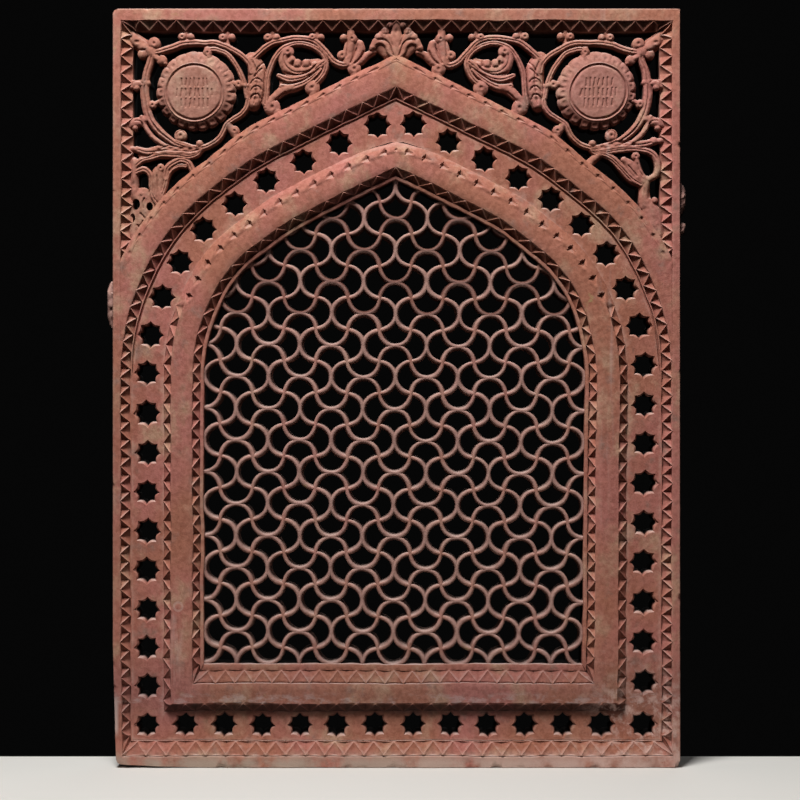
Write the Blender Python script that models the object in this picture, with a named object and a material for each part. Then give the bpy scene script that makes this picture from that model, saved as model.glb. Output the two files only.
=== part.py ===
"""A pierced window screen carved from one slab of red sandstone.

The slab stands on its underside with the origin at the middle of it. X runs across the
screen, Z runs up, and the carved face looks towards -Y. All sizes are in metres.
"""

import math

import bmesh
import bpy

# The slab
slab_width = 0.972
slab_height = 1.300
slab_depth = 0.075
front_y = -slab_depth / 2
back_y = slab_depth / 2
past_face = 0.004

# The pointed arch: each side is an arc struck from a point just past the middle line,
# then a straight run up to the apex
arch_radius = 0.4276
arch_centre_x = 0.0445
arch_spring_z = 0.668
arch_slope = math.radians(26.2)
arch_steps = 5

# Lines carved along the arch: how far each is set in from the inner edge of the outer
# band, the height at which it crosses the foot, and its depth below the front face
band_edge = (0.000, 0.020, 0.000)
star_floor_outer = (0.020, 0.049, 0.014)
star_floor_inner = (0.069, 0.095, 0.014)
frame_outer = (0.087, 0.111, 0.000)
frame_inner = (0.122, 0.144, 0.000)
window_bevel = (0.137, 0.169, 0.014)
window_edge = (0.142, 0.175, 0.019)

# The lattice: ribs in quarter circles between touching points set out on a grid
lattice_columns = 12
lattice_row_pitch = 0.0547
lattice_depth = 0.034
rib_width = 0.0070
least_hole = 0.70

# The row of eight-pointed stars between the two bands
star_inset = 0.0455
star_foot_z = 0.076
star_radius = 0.0195
stars_up_each_side = 18
stars_between_corners = 12
# How far each side's stars fall behind even spacing, by share of the way up to the apex
star_lag_left = (
    (0.0, 0.0),
    (0.05, 0.0024),
    (0.22, 0.0090),
    (0.33, 0.0108),
    (0.49, 0.0116),
    (0.65, 0.0138),
    (0.81, 0.0108),
    (0.92, 0.0060),
    (1.0, 0.0),
)
star_lag_right = ((0.0, 0.0), (0.05, -0.0045), (0.30, -0.0062), (0.50, -0.0034), (0.80, -0.0015), (1.0, 0.0))

# The window was not set out quite true: on the right its lines stand further in, most of all
# at the foot. The shift grows from one x to another and fades out again at the slab's edge
set_in_most = 0.0094
set_in_start_x = -0.250
set_in_full_x = 0.330
set_in_end_x = 0.482

# The pierced spandrels over the arch
spandrel_depth = 0.010
spandrel_side_x = 0.472
spandrel_top_z = 1.281
spandrel_bevel = 0.022
spandrel_inset = -0.043
medallion_x = 0.3445
medallion_z = 1.160
disc_radius = 0.068
disc_depth = 0.005
roundel_radius = 0.047
roundel_depth = 0.001
disc_sides = 12
bud_angles = (43, 107, 170, 224, 289, 343)
bud_half_angle = 4

# Rough stubs of stone left on the two edges: side, height of the middle, length
stub_reach = 0.011
stub_front_depth = 0.012
stub_back_depth = 0.060
stubs = ((-1, 0.793, 0.078), (1, 0.975, 0.052), (1, 0.924, 0.022))


def clear_scene():
    for item in list(bpy.data.objects):
        bpy.data.objects.remove(item, do_unlink=True)


def make_collection(name):
    group = bpy.data.collections.new(name)
    bpy.context.scene.collection.children.link(group)
    return group


# ---- Outlines in the plane of the slab: lists of (x, z) points ----

def set_in(x, z):
    """Where x falls once the right of the window has been drawn in."""
    rising = (x - set_in_start_x) / (set_in_full_x - set_in_start_x)
    falling = (set_in_end_x - x) / (set_in_end_x - set_in_full_x)
    across = min(max(min(rising, falling), 0.0), 1.0)
    lower = min(max(1.45 - 1.15 * z, 0.0), 1.3)
    return x - set_in_most * across * lower


def arch_side(inset, steps):
    """Points on the right of the arch, from the springing up to the start of the straight run."""
    radius = arch_radius - inset
    top_angle = math.pi / 2 - arch_slope
    return [
        (
            arch_centre_x + radius * math.cos(top_angle * step / steps),
            arch_spring_z + radius * math.sin(top_angle * step / steps),
        )
        for step in range(steps + 1)
    ]


def arch_apex(inset):
    x, z = arch_side(inset, 1)[-1]
    return (0.0, z + x * math.tan(arch_slope))


def arch_outline(inset, foot):
    """The whole arch: up the right side, over the apex and down the left, closed at the foot."""
    right = [(arch_side(inset, arch_steps)[0][0], foot)] + arch_side(inset, arch_steps)
    left = [(-x, z) for x, z in reversed(right)]
    return right + [arch_apex(inset)] + left


def spandrel_outline(inset, side_x, top_z):
    """The field over the arch, between the border and the outer edge of the arch band."""
    radius = arch_radius - inset
    low = math.acos((side_x - arch_centre_x) / radius)
    high = math.pi / 2 - arch_slope
    right = [
        (
            arch_centre_x + radius * math.cos(low + (high - low) * step / arch_steps),
            arch_spring_z + radius * math.sin(low + (high - low) * step / arch_steps),
        )
        for step in range(arch_steps + 1)
    ]
    left = [(-x, z) for x, z in reversed(right)]
    return [(side_x, top_z)] + right + [arch_apex(inset)] + left + [(-side_x, top_z)]


def regular_polygon(x, z, radius, sides, turn=0.0):
    return [
        (
            x + radius * math.cos(turn + math.tau * corner / sides),
            z + radius * math.sin(turn + math.tau * corner / sides),
        )
        for corner in range(sides)
    ]


def sector(x, z, inner, outer, start, end):
    """A slice of a ring with three points on each arc; angles in degrees."""
    angles = (start, (start + end) / 2, end)
    corners = [(outer, angle) for angle in angles] + [(inner, angle) for angle in angles[::-1]]
    return [
        (x + r * math.cos(math.radians(a)), z + r * math.sin(math.radians(a)))
        for r, a in corners
    ]


def mirrored(outline):
    return [(-x, z) for x, z in reversed(outline)]


def signed_area(outline):
    pairs = zip(outline, outline[1:] + outline[:1])
    return 0.5 * sum(ax * bz - bx * az for (ax, az), (bx, bz) in pairs)


def clip_to(outline, border):
    """Cut an outline back to a convex border that runs anticlockwise."""
    for (ax, az), (bx, bz) in zip(border, border[1:] + border[:1]):
        kept = []
        for (px, pz), (qx, qz) in zip(outline, outline[1:] + outline[:1]):
            p_side = (bx - ax) * (pz - az) - (bz - az) * (px - ax)
            q_side = (bx - ax) * (qz - az) - (bz - az) * (qx - ax)
            if p_side >= 0:
                kept.append((px, pz))
            if (p_side >= 0) != (q_side >= 0):
                share = p_side / (p_side - q_side)
                kept.append((px + share * (qx - px), pz + share * (qz - pz)))
        outline = kept
        if len(outline) < 3:
            return []
    return outline


# ---- Solids ----

def object_from_bmesh(name, bm, group):
    bmesh.ops.recalc_face_normals(bm, faces=bm.faces)
    mesh = bpy.data.meshes.new(name)
    bm.to_mesh(mesh)
    bm.free()
    solid = bpy.data.objects.new(name, mesh)
    group.objects.link(solid)
    return solid


def loft(name, sections, group, ring=False):
    """Join outlines of equal length, each at its own y, into a closed solid.

    A ring joins the last section to the first; otherwise both ends are capped.
    """
    bm = bmesh.new()
    loops = [[bm.verts.new((set_in(x, z), y, z)) for x, z in outline] for outline, y in sections]
    pairs = list(zip(loops, loops[1:]))
    if ring:
        pairs.append((loops[-1], loops[0]))
    else:
        bm.faces.new(loops[0])
        bm.faces.new(loops[-1])
    walls = []
    for near, far in pairs:
        for place in range(len(near)):
            after = (place + 1) % len(near)
            walls.append(bm.faces.new((near[place], near[after], far[after], far[place])))
    # walls bent by the drawing in are split into flat ones
    bmesh.ops.connect_verts_nonplanar(bm, angle_limit=0.0001, faces=walls)
    return object_from_bmesh(name, bm, group)


def punches(name, outlines, front, back, group):
    """Straight prisms through the slab, one for each outline, made from a flat filled curve."""
    curve = bpy.data.curves.new(name, "CURVE")
    curve.dimensions = "2D"
    curve.fill_mode = "BOTH"
    curve.extrude = (back - front) / 2
    for outline in outlines:
        spline = curve.splines.new("POLY")
        spline.points.add(len(outline) - 1)
        for point, (x, z) in zip(spline.points, outline):
            point.co = (set_in(x, z), z, 0.0, 1.0)
        spline.use_cyclic_u = True
    flat = bpy.data.objects.new(name, curve)
    flat.location = (0.0, (front + back) / 2, 0.0)
    flat.rotation_euler = (math.pi / 2, 0.0, 0.0)
    group.objects.link(flat)
    bpy.context.view_layer.update()
    mesh = bpy.data.meshes.new_from_object(flat.evaluated_get(bpy.context.evaluated_depsgraph_get()))
    mesh.transform(flat.matrix_world)
    bpy.data.objects.remove(flat, do_unlink=True)
    bm = bmesh.new()
    bm.from_mesh(mesh)
    bpy.data.meshes.remove(mesh)
    bmesh.ops.remove_doubles(bm, verts=bm.verts, dist=0.00001)
    return object_from_bmesh(name, bm, group)


def hide_cutters(group):
    for cutter in group.objects:
        cutter.hide_render = True
        cutter.display_type = "WIRE"


def combine(target, tool, operation):
    step = target.modifiers.new(tool.name, "BOOLEAN")
    step.operation = operation
    step.solver = "EXACT"
    step.object = tool


def depth_y(depth):
    return front_y + depth


def raised_past_front(outer, inner):
    """Where the slope from one carved line to a deeper one would meet a plane past the front."""
    rise = (outer[2] + past_face) / (inner[2] - outer[2])
    inset = outer[0] - (inner[0] - outer[0]) * rise
    foot = outer[1] - (inner[1] - outer[1]) * rise
    return arch_outline(inset, foot)


# ---- The parts of the carving ----

def cut_star_channel(group):
    """The sunk band for the stars, with a slope on each side."""
    sections = [
        (raised_past_front(band_edge, star_floor_outer), depth_y(-past_face)),
        (arch_outline(*star_floor_outer[:2]), depth_y(star_floor_outer[2])),
        (arch_outline(*star_floor_inner[:2]), depth_y(star_floor_inner[2])),
        (raised_past_front(frame_outer, star_floor_inner), depth_y(-past_face)),
    ]
    return loft("star_channel", sections, group, ring=True)


def cut_window(group):
    """The arched window: a slope, a narrow step, then down to the face of the lattice."""
    step_y = depth_y(window_bevel[2])
    sections = [
        (raised_past_front(frame_inner, window_bevel), depth_y(-past_face)),
        (arch_outline(*window_bevel[:2]), step_y),
        (arch_outline(*window_edge[:2]), step_y + 0.0005),
        (arch_outline(*window_edge[:2]), depth_y(window_edge[2])),
    ]
    return loft("window_front", sections, group)


def cut_window_back(group):
    """The plain recess behind the lattice."""
    outline = arch_outline(*window_edge[:2])
    sections = [
        (outline, depth_y(window_edge[2] + lattice_depth)),
        (outline, back_y + past_face),
    ]
    return loft("window_back", sections, group)


def lattice_holes():
    """Bell-shaped holes between the ribs.

    Half circles meet in pairs at each grid point, lying flat at one point and standing
    at the next. Each hole lies between two neighbouring points: pointed at one, where
    two ribs part, and blunt at the other, where a rib bows away from it.
    """
    border = arch_outline(window_edge[0] + 0.001, window_edge[1] + 0.001)
    column_pitch = 2 * arch_side(window_edge[0], 1)[0][0] / lattice_columns
    half_rib = rib_width / (column_pitch + lattice_row_pitch) * 2
    reach = math.sqrt(1 - 2 * half_rib * half_rib)
    tip = ((1 + 2 * half_rib + reach) / 2, (1 - 2 * half_rib + reach) / 2)
    shoulder_angle = math.atan2(tip[1], tip[0] - 1) / 3
    shoulder = (
        1 + (1 - half_rib) * math.cos(shoulder_angle),
        (1 - half_rib) * math.sin(shoulder_angle),
    )
    point = (math.sqrt((1 + half_rib) ** 2 - 1), 0.0)
    bell = [point, (tip[0], -tip[1]), (shoulder[0], -shoulder[1]), shoulder, tip]
    full_area = -signed_area(bell[::-1]) * column_pitch * lattice_row_pitch / 4

    half_columns = lattice_columns // 2
    rows = math.ceil((arch_apex(window_edge[0])[1] - window_edge[1]) / lattice_row_pitch)
    holes = []
    for column in range(-half_columns, half_columns + 1):
        for row in range(rows + 1):
            flat = (column + row) % 2 == 0
            for across, up in ((1, 0), (0, 1)):
                # Along a row the hole points at the flat pair; up a column, at the standing one
                forwards = flat if across else not flat
                ahead = 1 if forwards else -1
                start_column = column if forwards else column + across
                start_row = row if forwards else row + up
                outline = [
                    (
                        (start_column + ahead * (across * u + up * v) / 2) * column_pitch,
                        window_edge[1]
                        + (start_row + ahead * (up * u + across * v) / 2) * lattice_row_pitch,
                    )
                    for u, v in bell
                ]
                if signed_area(outline) < 0:
                    outline.reverse()
                hole = clip_to(outline, border)
                if hole and signed_area(hole) > least_hole * full_area:
                    holes.append(hole)
    return holes


def read_off(pairs, share):
    """The value at one share, read straight between pairs of (share, value)."""
    for (low, first), (high, second) in zip(pairs, pairs[1:]):
        if share <= high:
            return first + (second - first) * (share - low) / (high - low)
    return pairs[-1][1]


def star_places():
    """Centres of the stars: up each side and along the arch, then along the foot."""
    line = arch_side(star_inset, 48)
    path = [(line[0][0], star_foot_z)] + line + [arch_apex(star_inset)]
    lengths = [math.dist(a, b) for a, b in zip(path, path[1:])]
    total = sum(lengths)
    pitch = total / (stars_up_each_side + 0.5)
    centres = []
    for side, lag in ((1, star_lag_right), (-1, star_lag_left)):
        for star in range(stars_up_each_side + 1):
            left_to_go = star * pitch - read_off(lag, star * pitch / total)
            for (ax, az), (bx, bz), length in zip(path, path[1:], lengths):
                if left_to_go <= length:
                    share = left_to_go / length
                    centres.append((side * (ax + share * (bx - ax)), az + share * (bz - az)))
                    break
                left_to_go -= length
    corner_x = line[0][0]
    gap = 2 * corner_x / (stars_between_corners + 1)
    foot = [(corner_x - gap * (star + 1), star_foot_z) for star in range(stars_between_corners)]
    return centres + foot


def spandrel_holes():
    """Openings on the right between the stems, leaves and medallion; the left mirrors them."""
    gap = (disc_radius + 0.003, disc_radius + 0.013)
    ends = bud_angles[1:] + (bud_angles[0] + 360,)
    holes = [
        sector(medallion_x, medallion_z, *gap, start + bud_half_angle, end - bud_half_angle)
        for start, end in zip(bud_angles, ends)
    ]
    holes += [
        [(0.427, 1.258), (0.403, 1.234), (0.376, 1.243), (0.376, 1.258)],
        [(0.275, 1.258), (0.270, 1.241), (0.247, 1.221), (0.228, 1.246), (0.228, 1.258)],
        [(0.132, 1.258), (0.106, 1.218), (0.096, 1.240), (0.094, 1.258)],
        [(0.066, 1.258), (0.057, 1.241), (0.044, 1.238), (0.037, 1.258)],
        [(0.139, 1.178), (0.113, 1.196), (0.079, 1.197), (0.080, 1.183), (0.125, 1.163)],
        [(0.201, 1.142), (0.160, 1.160), (0.156, 1.147), (0.193, 1.128)],
        [(0.279, 1.101), (0.254, 1.123), (0.229, 1.136), (0.218, 1.116), (0.265, 1.091)],
        [(0.345, 1.046), (0.333, 1.058), (0.290, 1.080), (0.281, 1.075), (0.337, 1.040)],
        [(0.219, 1.161), (0.222, 1.188), (0.208, 1.217), (0.202, 1.207), (0.203, 1.174)],
        [(0.178, 1.220), (0.178, 1.228), (0.165, 1.239), (0.138, 1.232), (0.131, 1.216)],
        [(0.449, 1.237), (0.449, 1.184), (0.439, 1.183), (0.428, 1.210)],
        [(0.450, 1.160), (0.450, 1.113), (0.438, 1.114), (0.441, 1.160)],
        [(0.449, 1.089), (0.449, 1.068), (0.432, 1.062), (0.418, 1.073), (0.437, 1.098)],
        [(0.428, 1.030), (0.408, 1.044), (0.374, 1.046), (0.396, 1.028)],
        [(0.440, 1.010), (0.440, 0.990), (0.424, 0.978)],
    ]
    return holes + [mirrored(hole) for hole in holes]


def cut_spandrels(group):
    """The sunk field over the arch, sloping down from the border."""
    slope_in = spandrel_bevel * (1 + past_face / spandrel_depth)
    inner_x = spandrel_side_x - spandrel_bevel
    inner_top = spandrel_top_z - spandrel_bevel
    sections = [
        (
            spandrel_outline(spandrel_inset + 0.002, inner_x + slope_in, inner_top + slope_in),
            depth_y(-past_face),
        ),
        (spandrel_outline(spandrel_inset, inner_x, inner_top), depth_y(spandrel_depth)),
    ]
    return loft("spandrel_field", sections, group)


def add_medallions(slab, group):
    """Round discs with a smaller raised roundel on each, over a root deep in the slab."""
    root_y = depth_y(0.030)
    for side in (-1, 1):
        for label, radius, depth, sides in (
            ("disc", disc_radius, disc_depth, disc_sides),
            ("roundel", roundel_radius, roundel_depth, disc_sides),
        ):
            outline = regular_polygon(side * medallion_x, medallion_z, radius, sides, 0.05)
            sections = [(outline, depth_y(depth)), (outline, root_y)]
            name = f"{label}_{'left' if side < 0 else 'right'}"
            combine(slab, loft(name, sections, group), "UNION")


def add_stubs(slab, group):
    """Low rough stubs on the edges, tapering outwards."""
    for place, (side, middle_z, length) in enumerate(stubs):
        root_x = slab_width / 2 - 0.006
        tip_x = slab_width / 2 + stub_reach
        taper = stub_reach * 0.6
        bm = bmesh.new()
        root = []
        tip = []
        for y_end, z_end in ((0, -1), (1, -1), (1, 1), (0, 1)):
            y = depth_y((stub_front_depth, stub_back_depth)[y_end])
            inwards = (1, -1)[y_end] * taper
            root.append(bm.verts.new((side * root_x, y, middle_z + z_end * length / 2)))
            tip_z = middle_z + z_end * (length / 2 - taper)
            tip.append(bm.verts.new((side * tip_x, y + inwards, tip_z)))
        bm.faces.new(root)
        bm.faces.new(tip)
        for corner in range(4):
            after = (corner + 1) % 4
            bm.faces.new((root[corner], root[after], tip[after], tip[corner]))
        combine(slab, object_from_bmesh(f"stub_{place + 1}", bm, group), "UNION")


def sandstone():
    stone = bpy.data.materials.new("red_sandstone")
    stone.use_nodes = True
    shader = stone.node_tree.nodes["Principled BSDF"]
    shader.inputs["Base Color"].default_value = (0.42, 0.15, 0.10, 1.0)
    shader.inputs["Roughness"].default_value = 0.85
    shader.inputs["Metallic"].default_value = 0.0
    return stone


def build():
    clear_scene()
    parts = make_collection("window_screen")
    cutters = make_collection("cutters")

    block = [
        (slab_width / 2, 0.0),
        (slab_width / 2, slab_height),
        (-slab_width / 2, slab_height),
        (-slab_width / 2, 0.0),
    ]
    slab = loft("stone_screen", [(block, front_y), (block, back_y)], parts)
    slab.data.materials.append(sandstone())

    combine(slab, cut_star_channel(cutters), "DIFFERENCE")
    combine(slab, cut_window(cutters), "DIFFERENCE")
    combine(slab, cut_window_back(cutters), "DIFFERENCE")
    combine(slab, cut_spandrels(cutters), "DIFFERENCE")
    add_medallions(slab, cutters)
    add_stubs(slab, cutters)

    through = (front_y - past_face, back_y + past_face)
    stars = [
        regular_polygon(x, z, star_radius, 8, math.radians(22.5)) for x, z in star_places()
    ]
    combine(slab, punches("lattice_holes", lattice_holes(), *through, cutters), "DIFFERENCE")
    combine(slab, punches("star_holes", stars, *through, cutters), "DIFFERENCE")
    combine(slab, punches("spandrel_holes", spandrel_holes(), *through, cutters), "DIFFERENCE")
    hide_cutters(cutters)


build()
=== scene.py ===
import math

import bpy
import numpy as np
from mathutils.geometry import delaunay_2d_cdt
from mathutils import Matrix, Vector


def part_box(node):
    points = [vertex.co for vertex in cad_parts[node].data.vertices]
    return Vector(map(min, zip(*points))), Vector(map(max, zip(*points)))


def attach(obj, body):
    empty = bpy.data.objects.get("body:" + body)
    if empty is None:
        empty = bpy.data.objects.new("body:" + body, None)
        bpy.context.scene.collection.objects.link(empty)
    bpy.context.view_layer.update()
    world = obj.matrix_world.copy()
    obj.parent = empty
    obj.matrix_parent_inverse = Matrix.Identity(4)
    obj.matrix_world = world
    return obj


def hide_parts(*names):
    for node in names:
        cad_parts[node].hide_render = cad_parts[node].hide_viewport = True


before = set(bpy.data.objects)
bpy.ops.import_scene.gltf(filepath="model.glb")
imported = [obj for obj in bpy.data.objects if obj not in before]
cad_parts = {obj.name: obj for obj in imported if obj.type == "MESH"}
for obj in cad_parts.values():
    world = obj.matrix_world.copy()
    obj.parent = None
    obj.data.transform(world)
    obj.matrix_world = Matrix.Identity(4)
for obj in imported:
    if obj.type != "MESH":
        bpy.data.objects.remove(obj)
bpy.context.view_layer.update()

# The slab stands on z 0 with its carved face towards -y; every place below is in metres
lowCorner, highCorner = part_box("stone_screen")
stubReach = 0.011
halfWidth = highCorner.x - stubReach
topZ = highCorner.z
frontY = lowCorner.y
backY = highCorner.y
thickness = backY - frontY
bpy.context.scene.view_settings.view_transform = "Standard"


# ---- camera, light and floor ----

studio = {
    "cameraX": 0.006,
    "cameraZ": 0.630,
    "cameraDistance": 3.75,
    "viewWidth": 1.3684,
    "floorHalfWidth": 0.80,
    "floorFront": -0.345,
    "floorPastSlab": 0.05,
    "floorColour": "#d9d6d0",
    "floorRoughness": 0.9,
    "worldGrey": 0.002,
    # each lamp is its name, its place, what it faces, its size and its watts
    "lamps": (
        ("softboxAbove", (-0.50, -1.55, 3.40), (0.0, 0.0, 0.62), 1.0, 152.0),
        ("fillFront", (0.6, -5.2, 1.5), (0.0, 0.0, 0.65), 2.2, 13.0),
        ("fillBehind", (0.8, 3.0, 3.2), (0.0, 0.0, 0.6), 1.6, 12.0),
    ),
}


def linearColour(text):
    # sRGB hex to the linear values that a shader works in
    parts = [int(text[place:place + 2], 16) / 255 for place in (1, 3, 5)]
    straight = [part / 12.92 if part <= 0.04045 else ((part + 0.055) / 1.055) ** 2.4 for part in parts]
    return (*straight, 1.0)


def addCamera():
    # the lens is to the sensor's width as the distance is to the width in view
    data = bpy.data.cameras.new("screenCamera")
    data.sensor_width = 36.0
    data.lens = data.sensor_width * studio["cameraDistance"] / studio["viewWidth"]
    camera = bpy.data.objects.new("screenCamera", data)
    camera.location = (studio["cameraX"], frontY - studio["cameraDistance"], studio["cameraZ"])
    camera.rotation_euler = (math.pi / 2, 0.0, 0.0)
    bpy.context.scene.collection.objects.link(camera)
    bpy.context.scene.camera = camera


def addLamp(name, place, target, size, power):
    # a square soft box that faces its target
    data = bpy.data.lights.new(name, "AREA")
    data.size = size
    data.energy = power
    lamp = bpy.data.objects.new(name, data)
    lamp.location = place
    aim = Vector(target) - Vector(place)
    lamp.rotation_euler = aim.to_track_quat("-Z", "Y").to_euler()
    bpy.context.scene.collection.objects.link(lamp)


def addStudio():
    addCamera()
    for lamp in studio["lamps"]:
        addLamp(*lamp)
    world = bpy.data.worlds.new("darkStudio")
    world.use_nodes = True
    shade = world.node_tree.nodes["Background"]
    shade.inputs["Color"].default_value = (1.0, 1.0, 1.0, 1.0)
    shade.inputs["Strength"].default_value = studio["worldGrey"]
    bpy.context.scene.world = world
    wide = studio["floorHalfWidth"]
    near = studio["floorFront"]
    far = backY + studio["floorPastSlab"]
    mesh = bpy.data.meshes.new("studioFloor")
    mesh.from_pydata([(-wide, near, 0), (wide, near, 0), (wide, far, 0), (-wide, far, 0)], [], [(0, 1, 2, 3)])
    floor = bpy.data.objects.new("studioFloor", mesh)
    bpy.context.scene.collection.objects.link(floor)
    pale = bpy.data.materials.new("paleFloor")
    pale.use_nodes = True
    shader = pale.node_tree.nodes["Principled BSDF"]
    shader.inputs["Base Color"].default_value = linearColour(studio["floorColour"])
    shader.inputs["Roughness"].default_value = studio["floorRoughness"]
    mesh.materials.append(pale)


# ---- the stone ----

stone = {
    # the bed
    "base": "#a96d58",
    "rose": "#b37066",
    "buff": "#b99178",
    "grey": "#957165",
    "ash": "#a28078",
    # shades that darken what lies under them: sand and pits, then painted shade on faces turned down, low on
    # the slab, under the band's edge and along the top border
    "sandShade": "#f2f2f0",
    "pitShade": "#e4ddd9",
    "stain": "#aa958b",
    "damp": "#dde2e7",
    "ledgeSoot": "#958b89",
    "borderSoot": "#b5b3b3",
    # what covers it; dirt also carries painted shade on the medallions' lower petals, and the last is painted
    # shade down the walls of the openings
    "dirt": "#4c2217",
    "worn": "#c89e8e",
    "lichen": "#9c8a5c",
    "dust": "#a89485",
    "powder": "#c2a398",
    "salt": "#ab9a96",
    "soot": "#1a0e0b",
}
stoneFinish = {
    "roughness": 0.88,
    "specular": 0.25,
    "bumpStrength": 0.5,
    "bumpHeight": 0.0010,
    "ringMark": (-0.3735, 0.0, 0.2765),
}
# each pattern is a noise: its size in metres, detail, roughness, stretch, and how far it is shifted
patterns = {
    "clouds": (0.23, 4.0, 0.60, (1.0, 1.0, 0.7), 0.3),
    "mottle": (0.055, 4.0, 0.62, (1.0, 1.0, 0.8), 1.1),
    "patches": (0.033, 3.0, 0.60, (1.0, 1.0, 1.0), 2.7),
    # sand grains of 1.1 mm, drawn two and a half times as coarse so that they show
    "grain": (0.00275, 2.0, 0.70, (1.0, 1.0, 1.0), 0.0),
    "pits": (0.0075, 3.0, 0.65, (1.0, 1.0, 1.0), 4.1),
    "specks": (0.030, 3.0, 0.60, (1.0, 1.0, 1.0), 7.7),
    "colonies": (0.20, 2.0, 0.50, (1.0, 1.0, 1.0), 9.2),
    "blooms": (0.026, 4.0, 0.70, (1.0, 1.0, 2.0), 5.5),
    "streaks": (0.014, 3.0, 0.60, (1.0, 1.0, 0.06), 8.1),
    "trickles": (0.012, 3.0, 0.60, (1.0, 1.0, 0.12), 2.7),
    "crusts": (0.017, 4.0, 0.70, (1.0, 1.0, 1.0), 6.3),
}
# each layer is its blend, its colour, its strength, and the limits of where it lies: something read at
# the place, the value of that where the layer ends, and the value where it is full
layers = (
    # rose, buff and grey clouds; thin ribs and broken stubs have weathered to a paler, greyer stone
    ("MIX", "rose", 1.0, ("clouds", 0.42, 0.66)),
    ("MIX", "buff", 1.0, ("mottle", 0.50, 0.75)),
    ("MIX", "grey", 1.0, ("patches", 0.55, 0.80)),
    ("MIX", "ash", 1.0, ("ashen",)),
    # sand grains and small pits, darker and lighter by turns
    ("MULTIPLY", "sandShade", 1.0, ("grain", 0.70, 0.30)),
    ("MULTIPLY", "pitShade", 1.0, ("pits", 0.62, 0.34)),
    # faces turned down are darkened by painted shade, and pale dust lies on faces turned up
    ("MULTIPLY", "stain", 1.0, ("under",)),
    ("MIX", "powder", 1.0, ("upper",), ("mottle", 0.20, 0.55)),
    # dirt settles in the hollows, the medallions' lower petals get painted shade the same way, and edges that
    # hands and weather reach are rubbed pale
    ("MIX", "dirt", 1.0, ("hollow",), ("pits", 0.15, 0.55)),
    ("MIX", "worn", 1.0, ("rubbed",), ("patches", 0.30, 0.60)),
    ("MIX", "lichen", 0.65, ("specks", 0.66, 0.78), ("colonies", 0.50, 0.66)),
    # dust lies along the foot, and powder on the lowest part of the left edge
    ("MIX", "footDust", 0.92, ("height", 0.034, 0.006), ("mottle", 0.30, 0.55)),
    ("MIX", "powder", 1.0, ("across", -0.4735, -0.4800), ("height", 0.135, 0.105), ("height", 0.050, 0.070)),
    # painted shade greys the foot of the raised band, and a painted shadow lies under its edge
    ("MULTIPLY", "damp", 1.0, ("height", 0.240, 0.120), ("height", 0.030, 0.112)),
    ("MULTIPLY", "ledgeSoot", 1.0, ("height", 0.080, 0.098), ("height", 0.1105, 0.1070),
     ("sideways", 0.402, 0.390)),
    # salts bloom above that edge, streak the right jamb, and trickle down the left one from a small ring
    ("MIX", "salt", 0.42, ("height", 0.1340, 0.1180), ("height", 0.1085, 0.1110), ("blooms", 0.48, 0.66)),
    ("MIX", "powder", 0.50, ("across", 0.344, 0.354), ("across", 0.374, 0.364), ("height", 0.26, 0.36),
     ("streaks", 0.50, 0.72)),
    ("MIX", "powder", 0.36, ("across", -0.392, -0.380), ("across", -0.360, -0.370),
     ("height", 0.130, 0.170), ("height", 0.272, 0.258), ("trickles", 0.42, 0.66)),
    ("MIX", "powder", 0.36, ("fromRing", 0.0042, 0.0062), ("fromRing", 0.0100, 0.0080)),
    # they crust the lower right corner
    ("MIX", "powder", 0.62, ("across", 0.300, 0.400), ("height", 0.230, 0.090), ("crusts", 0.46, 0.66)),
    # painted shade dulls the zigzag under the top edge, and painted shade blackens the walls of the openings
    ("MULTIPLY", "borderSoot", 1.0, ("height", 1.2600, 1.2640), ("height", 1.2800, 1.2775),
     ("sideways", 0.466, 0.455)),
    ("MIX", "soot", 1.0, ("deep",)),
)


def addNode(tree, kind, settings=(), inputs=()):
    # one node with its settings; an input takes a value, or a link from another node's output
    node = tree.nodes.new(kind)
    for name, value in dict(settings).items():
        setattr(node, name, value)
    for name, value in dict(inputs).items():
        if isinstance(value, bpy.types.NodeSocket):
            tree.links.new(value, node.inputs[name])
        else:
            node.inputs[name].default_value = value
    return node


def layerAmount(tree, sources, strength, limits):
    # the strength times the share of each limit, which rises smoothly from 0 to 1 between its two
    # values; a limit without values is a share as it stands
    amount = strength
    for what, *ends in limits:
        share = sources[what]
        if ends:
            share = addNode(tree, "ShaderNodeMapRange", {"interpolation_type": "SMOOTHSTEP"},
                            {"Value": share, "From Min": ends[0], "From Max": ends[1]}).outputs["Result"]
        amount = addNode(tree, "ShaderNodeMath", {"operation": "MULTIPLY"}, {0: amount, 1: share}).outputs[0]
    return amount


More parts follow.
